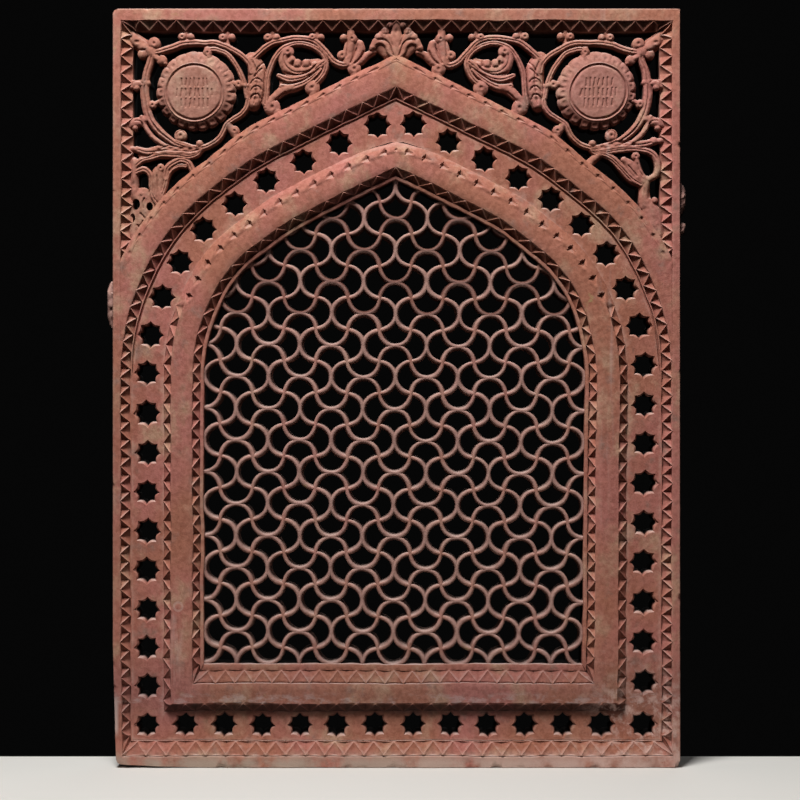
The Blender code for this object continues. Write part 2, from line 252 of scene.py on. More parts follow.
def makeSandstone():
    # Chiselled red sandstone, long weathered: a matt sandy face, rose, buff and grey clouds in
    # the bed, pale rubbed edges, brown dirt in the cuts and a few yellow spots of lichen, with painted shade
    # on faces turned down, under the ledges and down the openings' walls
    material = bpy.data.materials.new("weatheredRedSandstone")
    material.use_nodes = True
    tree = material.node_tree
    place = addNode(tree, "ShaderNodeTexCoord").outputs["Object"]
    sources = {}
    for name, (size, detail, roughness, stretch, shift) in patterns.items():
        spot = addNode(tree, "ShaderNodeMapping", {}, {"Vector": place, "Scale": stretch,
                                                       "Location": (shift, shift * 0.7, shift * 1.3)})
        sources[name] = addNode(tree, "ShaderNodeTexNoise", {},
                                {"Vector": spot.outputs["Vector"], "Scale": 1.0 / size, "Detail": detail,
                                 "Roughness": roughness}).outputs["Fac"]
    for name in ("ashen", "under", "upper", "hollow", "rubbed", "deep"):
        sources[name] = addNode(tree, "ShaderNodeAttribute", {"attribute_name": name}).outputs["Fac"]
    parts = addNode(tree, "ShaderNodeSeparateXYZ", {}, {"Vector": place})
    sources["across"] = parts.outputs["X"]
    sources["height"] = parts.outputs["Z"]
    sources["sideways"] = addNode(tree, "ShaderNodeMath", {"operation": "ABSOLUTE"},
                                  {0: sources["across"]}).outputs[0]
    onFace = addNode(tree, "ShaderNodeVectorMath", {"operation": "MULTIPLY"}, {0: place, 1: (1.0, 0.0, 1.0)})
    sources["fromRing"] = addNode(tree, "ShaderNodeVectorMath", {"operation": "DISTANCE"},
                                  {0: onFace.outputs[0], 1: stoneFinish["ringMark"]}).outputs["Value"]
    colours = {name: linearColour(value) for name, value in stone.items()}
    # the dust along the foot turns to powder towards the right
    rightward = layerAmount(tree, sources, 1.0, (("across", -0.25, 0.40),))
    colours["footDust"] = addNode(tree, "ShaderNodeMix", {"data_type": "RGBA"},
                                  {0: rightward, 6: colours["dust"], 7: colours["powder"]}).outputs[2]
    colour = colours["base"]
    for blend, name, strength, *limits in layers:
        amount = layerAmount(tree, sources, strength, limits)
        colour = addNode(tree, "ShaderNodeMix", {"data_type": "RGBA", "blend_type": blend},
                         {0: amount, 6: colour, 7: colours[name]}).outputs[2]
    shader = tree.nodes["Principled BSDF"]
    tree.links.new(colour, shader.inputs["Base Color"])
    shader.inputs["Roughness"].default_value = stoneFinish["roughness"]
    shader.inputs["Specular IOR Level"].default_value = stoneFinish["specular"]
    rough = addNode(tree, "ShaderNodeMath", {"operation": "ADD"}, {0: sources["grain"], 1: sources["pits"]})
    bump = addNode(tree, "ShaderNodeBump", {},
                   {"Height": rough.outputs[0], "Strength": stoneFinish["bumpStrength"],
                    "Distance": stoneFinish["bumpHeight"]})
    tree.links.new(bump.outputs["Normal"], shader.inputs["Normal"])
    return material


# ---- surfaces on grids ----

def waves(points, length, seed, count=14):
    # a sum of plane waves of about one length in random directions, from about -1 to 1
    chance = np.random.default_rng(seed)
    aim = chance.normal(size=(3, count))
    aim *= math.tau / (length * chance.uniform(0.75, 1.35, count)) / np.linalg.norm(aim, axis=0)
    return np.sin(points @ aim + chance.uniform(0, math.tau, count)).sum(1) * 0.8 / math.sqrt(count)


def gridCells(rows, columns, closeRows=True, closeColumns=True, start=0):
    # corner numbers of the cells between neighbouring rows and columns of a grid of points
    numbers = start + np.arange(rows * columns).reshape(rows, columns)
    if closeRows:
        numbers = np.vstack([numbers, numbers[:1]])
    if closeColumns:
        numbers = np.hstack([numbers, numbers[:, :1]])
    corners = (numbers[:-1, :-1], numbers[:-1, 1:], numbers[1:, 1:], numbers[1:, :-1])
    return np.stack(corners, -1).reshape(-1, 4)


def splitCells(cells, other=None):
    # two triangles a cell, cut from its first corner to its third, or where other says, second to fourth
    first = cells[:, [0, 1, 2, 0, 2, 3]]
    if other is not None:
        first = np.where(other.reshape(-1, 1), cells[:, [0, 1, 3, 1, 2, 3]], first)
    return first.reshape(-1, 3)


def stripFaces(rows, columns):
    # a tube of rows that is closed across, with a fan over its first row and over its last
    fan = np.arange(1, columns - 1)
    cap = np.stack([0 * fan, fan, fan + 1], -1)
    sides = splitCells(gridCells(rows, columns, closeRows=False))
    return np.vstack([sides, cap, (cap + (rows - 1) * columns)[:, ::-1]])


def signedVolume(points, faces):
    # a sixth of the sum of the corner triple products: above 0 where faces point outwards
    first, second, third = (points[faces[:, place]] for place in range(3))
    return np.einsum("ij,ij->i", first, np.cross(second, third)).sum() / 6


def facingOut(points, faces):
    # the faces as they are, or all turned over
    return faces if signedVolume(points, faces) > 0 else faces[:, ::-1]


def weld(points, faces, grid=0.000002):
    # points that share a place become one, and faces that lose a corner go
    keys = np.round(points / grid).astype(np.int64)
    _, keep, back = np.unique(keys, axis=0, return_index=True, return_inverse=True)
    faces = back.reshape(-1)[faces]
    whole = (faces[:, 0] != faces[:, 1]) & (faces[:, 1] != faces[:, 2]) & (faces[:, 2] != faces[:, 0])
    return points[keep], faces[whole]


def surfaceMarks(points, faces):
    # how far each point stands out of the mean of its neighbours along its normal, in edge lengths:
    # rubbed where it stands proud, hollow where it lies low; deep down the walls of openings, for their
    # painted shade;
    # under and upper are for faces, by how far they are turned down or up, and under carries painted shade
    edges = np.concatenate([faces[:, [0, 1]], faces[:, [1, 2]], faces[:, [2, 0]]])
    count = len(points)
    a, b = edges[:, 0], edges[:, 1]
    normal = np.zeros((count, 3))
    flat = np.cross(points[faces[:, 1]] - points[faces[:, 0]], points[faces[:, 2]] - points[faces[:, 0]])
    for axis in range(3):
        for corner in range(3):
            normal[:, axis] += np.bincount(faces[:, corner], flat[:, axis], count)
    normal /= np.linalg.norm(normal, axis=1, keepdims=True) + 1e-12
    degree = np.bincount(a, minlength=count) + 1e-9
    span = points[b] - points[a]
    size = np.linalg.norm(span, axis=1)
    lift = np.bincount(a, np.einsum("ij,ij->i", span, normal[a]) / (size + 0.0012), count) / degree
    for _ in range(2):
        lift = 0.45 * lift + 0.55 * np.bincount(a, lift[b], count) / degree
    below = np.clip((points[:, 1] - frontY - wallFrom) / (wallDark - wallFrom), 0, 1)
    atBack = points[:, 1] > backY - 0.004
    # the flat back itself gets no painted shade, right up to the openings' edges
    deep = below * np.where(atBack, np.clip((0.93 - normal[:, 1]) * 8, 0, 1),
                            np.clip(1.4 - 2.4 * normal[:, 1], 0, 1))
    turned = flat[:, 2] / (np.linalg.norm(flat, axis=1) + 1e-15)
    under = np.clip((-turned - 0.10) / 0.45, 0, 1)
    upper = np.clip((turned - 0.60) / 0.35, 0, 1)
    return np.clip(lift * 3.0, 0, 1), np.clip(-lift * 3.0 - 0.12, 0, 1), deep, under, upper


def handCut(points):
    # lines wander by about a millimetre and faces by half of that; the slab's own edges stay put
    x, y, z = points.T
    fromEdge = np.minimum(halfWidth - np.abs(x), np.minimum(z, topZ - z))
    inPlane = np.clip(fromEdge / 0.02, 0, 1)
    inFront = np.clip((backY - 0.004 - y) / 0.02, 0, 1)
    moved = points.copy()
    moved[:, 0] += inPlane * (0.0009 * waves(points, 0.13, 11) + 0.0004 * waves(points, 0.035, 12))
    moved[:, 2] += inPlane * (0.0009 * waves(points, 0.12, 13) + 0.0004 * waves(points, 0.030, 14))
    moved[:, 1] += inFront * (0.0004 * waves(points, 0.09, 15) + 0.0002 * waves(points, 0.011, 16))
    return moved


uneven = {
    # how far the right side of the window was set in, where it is greatest, and where it starts and ends
    "inward": 0.0094,
    "most": 0.330,
    "from": -0.250,
    "to": 0.482,
}


def setIn(points):
    # the window isn't quite in the middle: its right side lies further in, most of all near the foot
    x, z = points[:, 0], points[:, 2]
    rising = (x - uneven["from"]) / (uneven["most"] - uneven["from"])
    falling = (uneven["to"] - x) / (uneven["to"] - uneven["most"])
    low = np.clip(1.45 - 1.15 * z, 0, 1.3)
    moved = points.copy()
    moved[:, 0] -= uneven["inward"] * np.clip(np.minimum(rising, falling), 0, 1) * low
    return moved


leftFoot = {
    "leansBy": 0.0058,
    "leansBelow": 0.21,
    "risesBy": 0.0056,
    "risesFrom": -0.330,
    "round": 0.011,
}


def wornLeftFoot(points):
    # low on the left the slab's edge leans in, its foot is worn away towards the corner, and the corner
    # is round
    moved = points.copy()
    x, z = moved[:, 0], moved[:, 2]
    moved[:, 0] += leftFoot["leansBy"] * np.clip(1 - z / leftFoot["leansBelow"], 0, 1) * np.clip(
        (-0.452 - x) / 0.034, 0, 1)
    moved[:, 2] += leftFoot["risesBy"] * np.clip(1 - z / 0.020, 0, 1) * np.clip(
        (leftFoot["risesFrom"] - x) / 0.14, 0, 1) ** 1.5
    size = leftFoot["round"]
    middle = np.array([leftFoot["leansBy"] - halfWidth + size, leftFoot["risesBy"] + size])
    away = moved[:, [0, 2]] - middle
    reach = np.hypot(*away.T)
    outside = (away.max(1) < 0) & (reach > size)
    moved[np.ix_(outside, [0, 2])] = middle + away[outside] * (size / reach[outside])[:, None]
    return moved


chips = {
    "edgeCount": 46,
    "seed": 5,
    "small": 0.004,
    "large": 0.011,
    # places of larger losses: x, depth, z, radius
    "known": (
        (-0.489, 0.0, 1.303, 0.012), (0.489, -0.002, 1.304, 0.010),
        (0.490, -0.001, 0.000, 0.014), (-0.300, -0.004, -0.003, 0.012), (0.180, -0.004, -0.004, 0.013),
        (-0.080, -0.005, -0.003, 0.011), (0.350, -0.004, -0.003, 0.010),
    ),
}


def chipBalls():
    # balls that bite the slab's front edges: the known losses, then small ones all round
    chance = np.random.default_rng(chips["seed"])
    balls = [(x, frontY + depth, z, size) for x, depth, z, size in chips["known"]]
    for place in chance.uniform(0, 1, chips["edgeCount"]):
        size = chips["small"] + (chips["large"] - chips["small"]) * chance.uniform() ** 3
        out = size * chance.uniform(0.35, 0.75)
        along = place * (4 * halfWidth + 2 * topZ)
        if along < 2 * topZ:
            side = 1 if along < topZ else -1
            balls.append((side * (halfWidth + out), frontY - out * 0.6, along % topZ, size))
        else:
            run = along - 2 * topZ
            level = -out if run < 2 * halfWidth else topZ + out
            balls.append((run % (2 * halfWidth) - halfWidth, frontY - out * 0.6, level, size))
    return balls


def bitten(points, balls):
    # a point inside a ball is pushed out to its surface, straight away from its middle
    moved = points.copy()
    for x, y, z, size in balls:
        away = moved - (x, y, z)
        reach = np.linalg.norm(away, axis=1) + 1e-9
        inside = reach < size
        moved[inside] = (x, y, z) + away[inside] * (size / reach[inside])[:, None]
    return moved


totals = {"triangles": 0}
# painted shade darkens the walls of openings between these depths
wallFrom = 0.0195
wallDark = 0.0268


def addPiece(name, points, faces, material, sharp=38.0, cut=True, ashen=0.0, wallShadeShare=1.0, dirt=0.0):
    # one closed mesh of triangles, turned to face outwards, with its marks as attributes, in place of
    # the slab; sharp is in degrees, ashen says how far the stone has weathered pale, the next argument
    # scales the painted shade down the walls of openings, and the last adds painted shade to the hollows
    points = np.asarray(points, float).reshape(-1, 3)
    faces = facingOut(points, faces)
    points = wornLeftFoot(setIn(points))
    if cut:
        points = handCut(points)
    points[:, 1] = np.clip(points[:, 1], frontY, backY)
    hollow, rubbed, deep, under, upper = surfaceMarks(points, faces)
    hollow = np.maximum(hollow, dirt)
    mesh = bpy.data.meshes.new(name)
    mesh.vertices.add(len(points))
    mesh.vertices.foreach_set("co", points.astype(np.float32).ravel())
    mesh.loops.add(faces.size)
    mesh.loops.foreach_set("vertex_index", faces.astype(np.int32).ravel())
    mesh.polygons.add(len(faces))
    mesh.polygons.foreach_set("loop_start", np.arange(0, faces.size, 3, dtype=np.int32))
    mesh.update(calc_edges=True)
    mesh.shade_smooth()
    mesh.set_sharp_from_angle(angle=math.radians(sharp))
    for title, kind, values in (("hollow", "POINT", hollow), ("rubbed", "POINT", rubbed),
                                ("deep", "POINT", deep * wallShadeShare), ("ashen", "POINT", ashen + 0 * deep),
                                ("under", "FACE", under), ("upper", "FACE", upper)):
        mark = mesh.attributes.new(title, "FLOAT", kind)
        mark.data.foreach_set("value", values.astype(np.float32))
    mesh.materials.append(material)
    piece = bpy.data.objects.new(name, mesh)
    bpy.context.scene.collection.objects.link(piece)
    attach(piece, "root")
    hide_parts("stone_screen")
    totals["triangles"] += len(faces)
    print(f"{name}: {len(faces)} triangles, {signedVolume(points, faces) * 1e6:.0f} cm3")
    return piece


# ---- lines round the arch ----

arch = {
    "radius": 0.4276,
    "centreX": 0.0445,
    "springZ": 0.668,
    "slope": math.radians(26.2),
    "mitre": 0.030,
    # each shoulder is a little flatter than its arc: by how much, round which angle, how far each way
    "flat": 0.0052,
    "flatAngle": math.radians(52.5),
    "flatReach": math.radians(9.5),
}
archTurn = math.pi / 2 - arch["slope"]


def archLengths(inset, foot):
    # the upright, the arc and the straight run up to the apex of one line
    radius = arch["radius"] - inset
    run = (arch["centreX"] + radius * math.cos(archTurn)) / math.cos(arch["slope"])
    return arch["springZ"] - foot, radius * archTurn, run


def shoulder(angle):
    # how far the shoulder lies inside its arc
    return arch["flat"] * np.exp(-((angle - arch["flatAngle"]) / arch["flatReach"]) ** 2)


def archPoint(along, inset, line):
    # up the upright, round the arc, then along the tangent; along is measured on the given line
    upright, curve, _ = archLengths(*line)
    past = along - upright
    angle = np.clip(past / (arch["radius"] - line[0]), 0, archTurn)
    above = np.maximum(past - curve, 0)
    reach = arch["radius"] - inset - shoulder(past / (arch["radius"] - line[0]))
    x = arch["centreX"] + reach * np.cos(angle) - above * math.cos(arch["slope"])
    z = arch["springZ"] + reach * np.sin(angle) + np.minimum(past, 0) + above * math.sin(arch["slope"])
    return x, z


def rightHalf(along, insets, feet, line):
    # lines beside the given one: points stay square to it and lean into the mitres at both ends
    total = sum(archLengths(*line))
    nearFoot = np.clip(1 - along / arch["mitre"], 0, 1)
    nearTop = np.clip(1 - (total - along) / arch["mitre"], 0, 1)
    lean = (feet - line[1]) * nearFoot - (insets - line[0]) * math.tan(arch["slope"]) * nearTop
    return archPoint(along + lean, insets, line)


def rightFoot(along, insets, feet, line):
    # the foot, measured from the right corner towards the middle
    corner = arch["centreX"] + arch["radius"] - insets
    lineCorner = arch["centreX"] + arch["radius"] - line[0]
    x = lineCorner - along + (corner - lineCorner) * np.clip(1 - along / arch["mitre"], 0, 1)
    return x, feet + 0 * x


def nearApex(along, total):
    # 1 at the apex, fading out a hand's width away from it
    return np.clip(1 - (total - along) / 0.075, 0, 1) ** 1.5


def archLoop(insets, feet, line, halfTeeth, footTeeth, perTooth, pulls=0.0):
    # closed lines: up the right side, down the left one, back along the foot; phase counts teeth.
    # near the apex each line moves further in by its pull
    insets, feet = np.atleast_2d(insets), np.atleast_2d(feet)
    halfCount = halfTeeth * perTooth
    half = sum(archLengths(*line)) * (np.arange(halfCount + 1) / halfCount)[:, None]
    drawn = insets + pulls * nearApex(half, half[-1])
    rightX, rightZ = rightHalf(half, drawn, feet, line)
    footCount = footTeeth * perTooth
    width = 2 * (arch["centreX"] + arch["radius"] - line[0])
    foot = width * (np.arange(footCount) / footCount)[:, None]
    fromCorner = np.minimum(foot, width - foot)
    footX, footZ = rightFoot(fromCorner, insets, feet, line)
    footX = np.where(foot < width / 2, -footX, footX)
    x = np.concatenate([rightX[:-1], -rightX[:0:-1], footX])
    z = np.concatenate([rightZ[:-1], rightZ[:0:-1], footZ])
    up = np.arange(halfCount + 1) / perTooth
    phase = np.concatenate([up[:-1], up[:0:-1], np.arange(footCount) / perTooth])
    above = np.concatenate([half[:-1, 0], half[:0:-1, 0], -fromCorner[:, 0]]) - archLengths(*line)[0]
    return x, z, phase, above


def fromMiddle(phase):
    # 0 at the middle of a tooth and 1 at its ends
    return np.abs(2 * (phase - np.floor(phase)) - 1)


# ---- rows of zigzag cuts ----

zigzag = {
    "pit": 0.0094,
    "sunk": 0.0062,
    "bead": 0.0013,
    "steps": 8,
}


def zigzagDepth(phase, across, drop, pit, sunk, climbing=True, calm=1.0):
    # a slope with a V cut in each tooth: inside the V the pit deepens in proportion to the distance from
    # its arms; outside it lies a second notch, steeper under the upper arm where the row climbs.
    # elsewhere both are shallower, by calm
    off = fromMiddle(phase)
    inside = 1 - across - off
    share = np.clip(-inside, 0, 1) / np.maximum(across, 0.01)
    upper = (phase > np.round(phase)) & climbing
    notch = np.sqrt(across) * np.where(upper, np.sqrt(share), share)
    bead = zigzag["bead"] * np.clip(1 - np.abs(inside) * zigzag["steps"] * 0.6, 0, 1)
    amount = np.where(climbing, 1.0, calm)
    return drop * across + (pit * np.clip(inside, 0, 1) + sunk * notch) * amount - bead


def firstHalves(phase, downFrom, downTo, tips=False):
    # where a cell lies in the first half of its tooth, by the way that the row is walked: the V's arms
    # run along cell diagonals, which lean the other way there. From downFrom to downTo teeth count down,
    # and tips adds the cell that ends at a tooth's middle
    part = phase - np.floor(phase)
    place = np.arange(len(phase))
    down = (place >= downFrom) & (place < downTo)
    return np.where(down, (part > 0.5) | (part < 1e-9) | (tips & (part == 0.5)), part < 0.5)


def loopPiece(name, x, z, depth, material, crossed=None):
    # columns carried round a closed loop, closed across as well
    points = np.stack([x, frontY + depth, z], -1).reshape(-1, 3)
    return addPiece(name, points, splitCells(gridCells(*x.shape), crossed), material)


outerZigzag = {
    "line": (0.008, 0.0345),
    "halfTeeth": 45,
    "footTeeth": 27,
    "edge": (-0.0010, 0.0228),
    "floor": (0.0145, 0.0438),
    "drop": 0.012,
    "start": 0.001,
    "buried": (0.0016, 0.0016, 0.003),
    # the rim, the groove and the wall: inset up the sides, inset at the foot, depth, and depth added
    # round the arch
    "tail": ((0.0152, 0.0444, 0.0140, -0.0016), (0.0168, 0.0454, 0.0141, -0.0016),
             (0.0182, 0.0463, 0.0149, 0.0030), (0.0204, 0.0477, 0.0154, 0.0032),
             (0.0250, 0.0515, 0.0170, 0.0025)),
    "back": (0.0215, 0.0440),
    # how much shallower the row along the foot is
    "footShare": 0.6,
}


def makeOuterZigzag(material):
    # columns: buried edge, the slope with its pits, a thin rim, a groove, then down to the back
    n = zigzag["steps"]
    across = np.arange(n + 1) / n
    edge, floor = np.array(outerZigzag["edge"]), np.array(outerZigzag["floor"])
    slope = edge + (floor - edge) * across[:, None]
    tail = np.array(outerZigzag["tail"])
    buried = np.array(outerZigzag["buried"])
    lines = np.vstack([edge - buried[:2], slope, tail[:, :2], outerZigzag["back"], edge])
    x, z, phase, above = archLoop(lines[:, 0], lines[:, 1], outerZigzag["line"],
                                  outerZigzag["halfTeeth"], outerZigzag["footTeeth"], 2 * n)
    halfCount = outerZigzag["halfTeeth"] * 2 * n
    climbing = (np.arange(len(phase)) < 2 * halfCount)[:, None]
    inArch = np.clip(above / 0.06 + 0.3, 0.25, 1)
    depth = np.full_like(x, thickness)
    depth[:, 0] = buried[2]
    depth[:, 1:n + 2] = zigzagDepth(phase[:, None], across[None, :], outerZigzag["drop"], zigzag["pit"],
                                    zigzag["sunk"], climbing, outerZigzag["footShare"]) + outerZigzag["start"]
    depth[:, n + 2:-2] = tail[:, 2] + tail[:, 3] * inArch[:, None]
    crossed = np.zeros(x.shape, bool)
    crossed[:, 1:n + 1] = ~firstHalves(phase, halfCount, 2 * halfCount, tips=True)[:, None]
    return loopPiece("outer_zigzag", x, z, depth, material, crossed)


# ---- the plain edge of the slab, with zigzag cuts round the spandrels ----

outerFrame = {
    "sideTeeth": 16,
    "topTeeth": 30,
    "toothPitch": 0.030,
    "plainStep": 0.004,
    "mitre": 0.030,
    # how far in from the slab's side, its top and its foot each line lies, and its depth
    "edge": ((0.0, 0.0, 0.0, 0.075), (0.0, 0.0, 0.0, 0.050), (0.0, 0.0, 0.0, 0.022), (0.0, 0.0, 0.0, 0.0060),
             (0.0003, 0.0003, 0.0003, 0.0024), (0.0016, 0.0016, 0.0016, 0.0008),
             (0.0055, 0.0060, 0.0065, 0.0005), (0.0100, 0.0130, 0.0140, 0.0005),
             (0.0127, 0.0198, 0.0187, 0.0007), (0.0142, 0.0213, 0.0202, 0.0024)),
    "zigzagStart": (0.0142, 0.0213),
    "zigzagEnd": (0.0330, 0.0372),
    "drop": 0.010,
    "pitShare": 0.9,
    "start": 0.0018,
    # beyond the slope: how far in the wall stands, and how much deeper its lip is than the slope's end
    "wall": (0.0004, 0.0006, 0.0008),
    "lip": 0.0030,
    "wallTurn": 0.045,
    # the zigzag starts over this height; below it the columns fold into the edge's wall, so deep
    "zigzagFrom": 0.810,
    "startsOver": 0.012,
    "folded": (0.0030, 0.0330),
    "backInset": 0.0139,
    # the face is worn back along the foot, by how much at least and by how much more in places
    "footWorn": 0.0016,
}


def makeOuterFrame(material):
    # four runs of lines round the slab with mitred corners; below the arch's shoulders the zigzag
    # columns fold back into the wall of the edge
    n = zigzag["steps"]
    per = 2 * n
    mitre = outerFrame["mitre"]
    across = np.arange(n + 1) / n
    edge = np.array(outerFrame["edge"])
    start, end = np.array(outerFrame["zigzagStart"]), np.array(outerFrame["zigzagEnd"])
    slope = start + (end - start) * across[:, None]
    wall = end + np.array(outerFrame["wall"])[:, None]
    side = np.concatenate([edge[:, 0], slope[:, 0], wall[:, 0]])
    top = np.concatenate([edge[:, 1], slope[:, 1], wall[:, 1]])
    foot = np.concatenate([edge[:, 2], np.full(n + 4, edge[-1, 2])])
    # up the side: plain steps, then teeth
    toothLow = topZ - start[1] - outerFrame["sideTeeth"] * outerFrame["toothPitch"]
    plainCount = round(toothLow / outerFrame["plainStep"])
    toothSteps = np.arange(outerFrame["sideTeeth"] * per + 1)
    upright = np.concatenate([toothLow * (np.arange(plainCount) / plainCount),
                              toothLow + toothSteps * outerFrame["toothPitch"] / per])[:, None]
    up = (upright - toothLow) / outerFrame["toothPitch"]
    # the mitres pull each line's ends to its own corner
    nearFoot = np.clip(1 - upright / mitre, 0, 1)
    nearTop = np.clip(1 - (topZ - start[1] - upright) / mitre, 0, 1)
    sideZ = upright + foot * nearFoot + (start[1] - top) * nearTop
    fading = np.clip((upright - outerFrame["zigzagFrom"]) / outerFrame["startsOver"], 0, 1)
    closedSide = np.minimum(side, edge[-1, 0])
    sideX = halfWidth - (closedSide + (side - closedSide) * fading)
    # along the top
    topCount = outerFrame["topTeeth"] * per
    topWidth = 2 * (halfWidth - start[0])
    alongTop = topWidth * (np.arange(topCount) / topCount)[:, None]
    fromCorner = np.minimum(alongTop, topWidth - alongTop)
    pulled = np.clip(1 - fromCorner / mitre, 0, 1) * (start[0] - side)
    topX = np.where(alongTop < topWidth / 2, 1, -1) * (topWidth / 2 - fromCorner + pulled)
    topRow = topZ - top + 0 * topX
    # along the foot
    footCount = round(2 * halfWidth / outerFrame["plainStep"])
    run = 2 * halfWidth * (np.arange(footCount) / footCount)[:, None]
    footCorner = np.minimum(run, 2 * halfWidth - run)
    footPulled = np.clip(1 - footCorner / mitre, 0, 1) * closedSide
    footX = np.where(run < halfWidth, -1, 1) * (halfWidth - footCorner - footPulled)
    footZ = np.minimum(foot, edge[-1, 2]) + 0 * footX
    x = np.concatenate([sideX[:-1], topX, -sideX[:0:-1], footX])
    z = np.concatenate([sideZ[:-1], topRow, sideZ[:0:-1], footZ])
    phase = np.concatenate([up[:-1, 0], np.arange(topCount) / per, up[:0:-1, 0], np.zeros(footCount)])
    opened = np.concatenate([fading[:-1], np.ones((topCount, 1)), fading[:0:-1], np.zeros((footCount, 1))])
    topFrom = len(upright) - 1
    place = np.arange(len(phase))
    onTop = (place >= topFrom) & (place < topFrom + topCount)
    pit = zigzag["pit"] * outerFrame["pitShare"]
    cut = zigzagDepth(phase[:, None], across[None, :], outerFrame["drop"], pit, zigzag["sunk"],
                      ~onTop[:, None]) + outerFrame["start"]
    folded = np.interp(across, (0, 1), outerFrame["folded"])[None, :]
    first = len(edge)
    depth = np.full_like(x, thickness)
    depth[:, :first] = edge[:, 3]
    depth[:, first:first + n + 1] = folded + (cut - folded) * opened
    depth[:, -3] = depth[:, first + n] + outerFrame["lip"]
    depth[:, -2] = outerFrame["wallTurn"]
    crossed = np.zeros(x.shape, bool)
    crossed[:, first:first + n] = ~firstHalves(phase, topFrom + topCount, len(phase))[:, None]
    points = np.stack([x, frontY + depth, z], -1).reshape(-1, 3)
    points, faces = weld(points, splitCells(gridCells(*x.shape), crossed))
    # the foot is worn uneven, and the outer edges are chipped
    worn = np.clip(1 - points[:, 2] / 0.03, 0, 1) * np.clip((backY - points[:, 1]) / thickness, 0, 1) ** 3
    points[:, 1] += worn * outerFrame["footWorn"] * (1 + waves(points, 0.05, 31))
    points = bitten(points, chipBalls())
    return addPiece("outer_frame", points, faces, material)


# ---- running leaves along the raised bands ----

leaf = {
    "pitch": 0.0318,
    "slopeEnd": 0.66,
    "hollow": 0.50,
    "length": 0.50,
    "brow": 0.12,
    "middle": 0.60,
    "half": 0.32,
    "line": 0.0006,
}


def leafDepth(phase, across, drop):
    # across runs from the outer edge, 0, to the flat of the band, 1, and phase grows down the band. A
    # row of leaves slopes out from the band. Under the end of each a hollow is cut, widest and deepest
    # there, that rises and narrows to a point along the next leaf
    u = phase - np.floor(phase)
    slope = drop * np.clip(1 - across / leaf["slopeEnd"], 0, 1) ** 1.3
    v = u - (u > 1 - leaf["brow"])
    aside = np.abs(across - leaf["middle"] - 0.12 * v) / leaf["half"]
    away = np.where(v < 0, -v / leaf["brow"], v / leaf["length"])
    hollow = leaf["hollow"] * (drop + 0.004) * np.clip(1 - away - aside, 0, 1)
    line = leaf["line"] * np.exp(-((across - leaf["middle"] - 0.9 * leaf["half"]) / 0.06) ** 2)
    return slope + hollow + line


archBand = {
    "outer": -0.0455,
    "higher": 0.0050,
    "leafWidth": 0.0140,
    "leafSteps": 14,
    "step": 0.0020,
    "drop": 0.0050,
    "floorDepth": 0.011,
}


def makeArchBand(material):
    # from springing to springing over the apex; low down its outer line runs under the slab's edge
    line = (0.0, arch["springZ"])
    total = sum(archLengths(*line))
    count = round(total / archBand["step"])
    along = total * (np.arange(count + 1) / count)[:, None]
    angle = np.clip(along / arch["radius"], 0, archTurn)
    limit = arch["radius"] - (halfWidth - outerFrame["backInset"] + 0.0016 - arch["centreX"]) / np.cos(angle)
    widest = archBand["outer"] - archBand["higher"] * np.clip((along / arch["radius"] - 0.93) / 0.20, 0, 1)
    phase = (total - along) / leaf["pitch"] + 0.3
    outer = np.minimum(np.maximum(widest, limit), -0.0045)
    free = np.clip((widest - outer + 0.0005) / 0.0005, 0, 1) * np.clip((angle - 0.45) / 0.05, 0, 1)
    outer = outer + 0.0005 * free * (fromMiddle(phase) ** 2 - 0.4)
    leafSpan = np.minimum(archBand["leafWidth"], -0.55 * outer)
    share = np.arange(archBand["leafSteps"] + 1) / archBand["leafSteps"]
    leafInset = outer + leafSpan * share
    flat = leafInset[:, -1:] + (-0.0018 - leafInset[:, -1:]) * np.array([[0.33, 0.66, 1.0]])
    ones = np.ones_like(along)
    insets = np.hstack([outer, outer, leafInset, flat, -0.0006 * ones, 0 * ones, 0 * ones])
    x, z = rightHalf(along, insets, arch["springZ"] + 0 * insets, line)
    leaves = leafDepth(phase, share[None, :], archBand["drop"]) + 0.0005
    plain = 0.0009 + 0.0022 * np.clip(1 - share * 6, 0, 1) + 0 * along
    sink = 0.0005 * np.clip(1 - angle / 0.2, 0, 1)
    depth = np.hstack([thickness * ones, archBand["floorDepth"] * ones, plain + (leaves - plain) * free,
                       0.0006 * np.ones((len(along), 3)) + sink, 0.0012 * ones, 0.0028 * ones,
                       thickness * ones])
    x = np.concatenate([x, -x[-2::-1]])
    z = np.concatenate([z, z[-2::-1]])
    depth = np.concatenate([depth, depth[-2::-1]])
    return addPiece("arch_band", np.stack([x, frontY + depth, z], -1), stripFaces(*x.shape), material)


# ---- the band of stars ----

stars = {
    "line": (0.0437, 0.0725),
    "upSide": 18,
    "onFoot": 12,
    "tip": 0.0213,
    "valley": 0.0168,
    "depth": 0.0142,
    "outer": (0.0172, 0.0468),
    "archShift": 0.0036,
    "inner": (0.0728, 0.0962),
    "apexShift": 0.0116,
    "backOuter": (0.0215, 0.0440),
    "backInner": (0.0710, 0.0945),
    "side": 16,
    "chamfer": 0.0026,
}


def starLine(signed, inset, foot):
    # a point beside the line of stars: above 0 it is up the side, below 0 it is along the foot
    line = stars["line"]
    upX, upZ = rightHalf(np.maximum(signed, 0), inset, foot, line)
    footX, footZ = rightFoot(np.maximum(-signed, 0), inset, foot, line)
    return np.where(signed < 0, footX, upX), np.where(signed < 0, footZ, upZ)


def starOutline(middle, angles, grow, turn, limit):
    # eight points at even turns with valleys between them, kept inside the limit
    wave = np.abs(np.sin(4 * (angles - turn)))
    reach = np.minimum(stars["tip"] - (stars["tip"] - stars["valley"]) * wave ** 0.8 + grow, limit)
    return middle[0] + reach * np.cos(angles), middle[1] + reach * np.sin(angles)


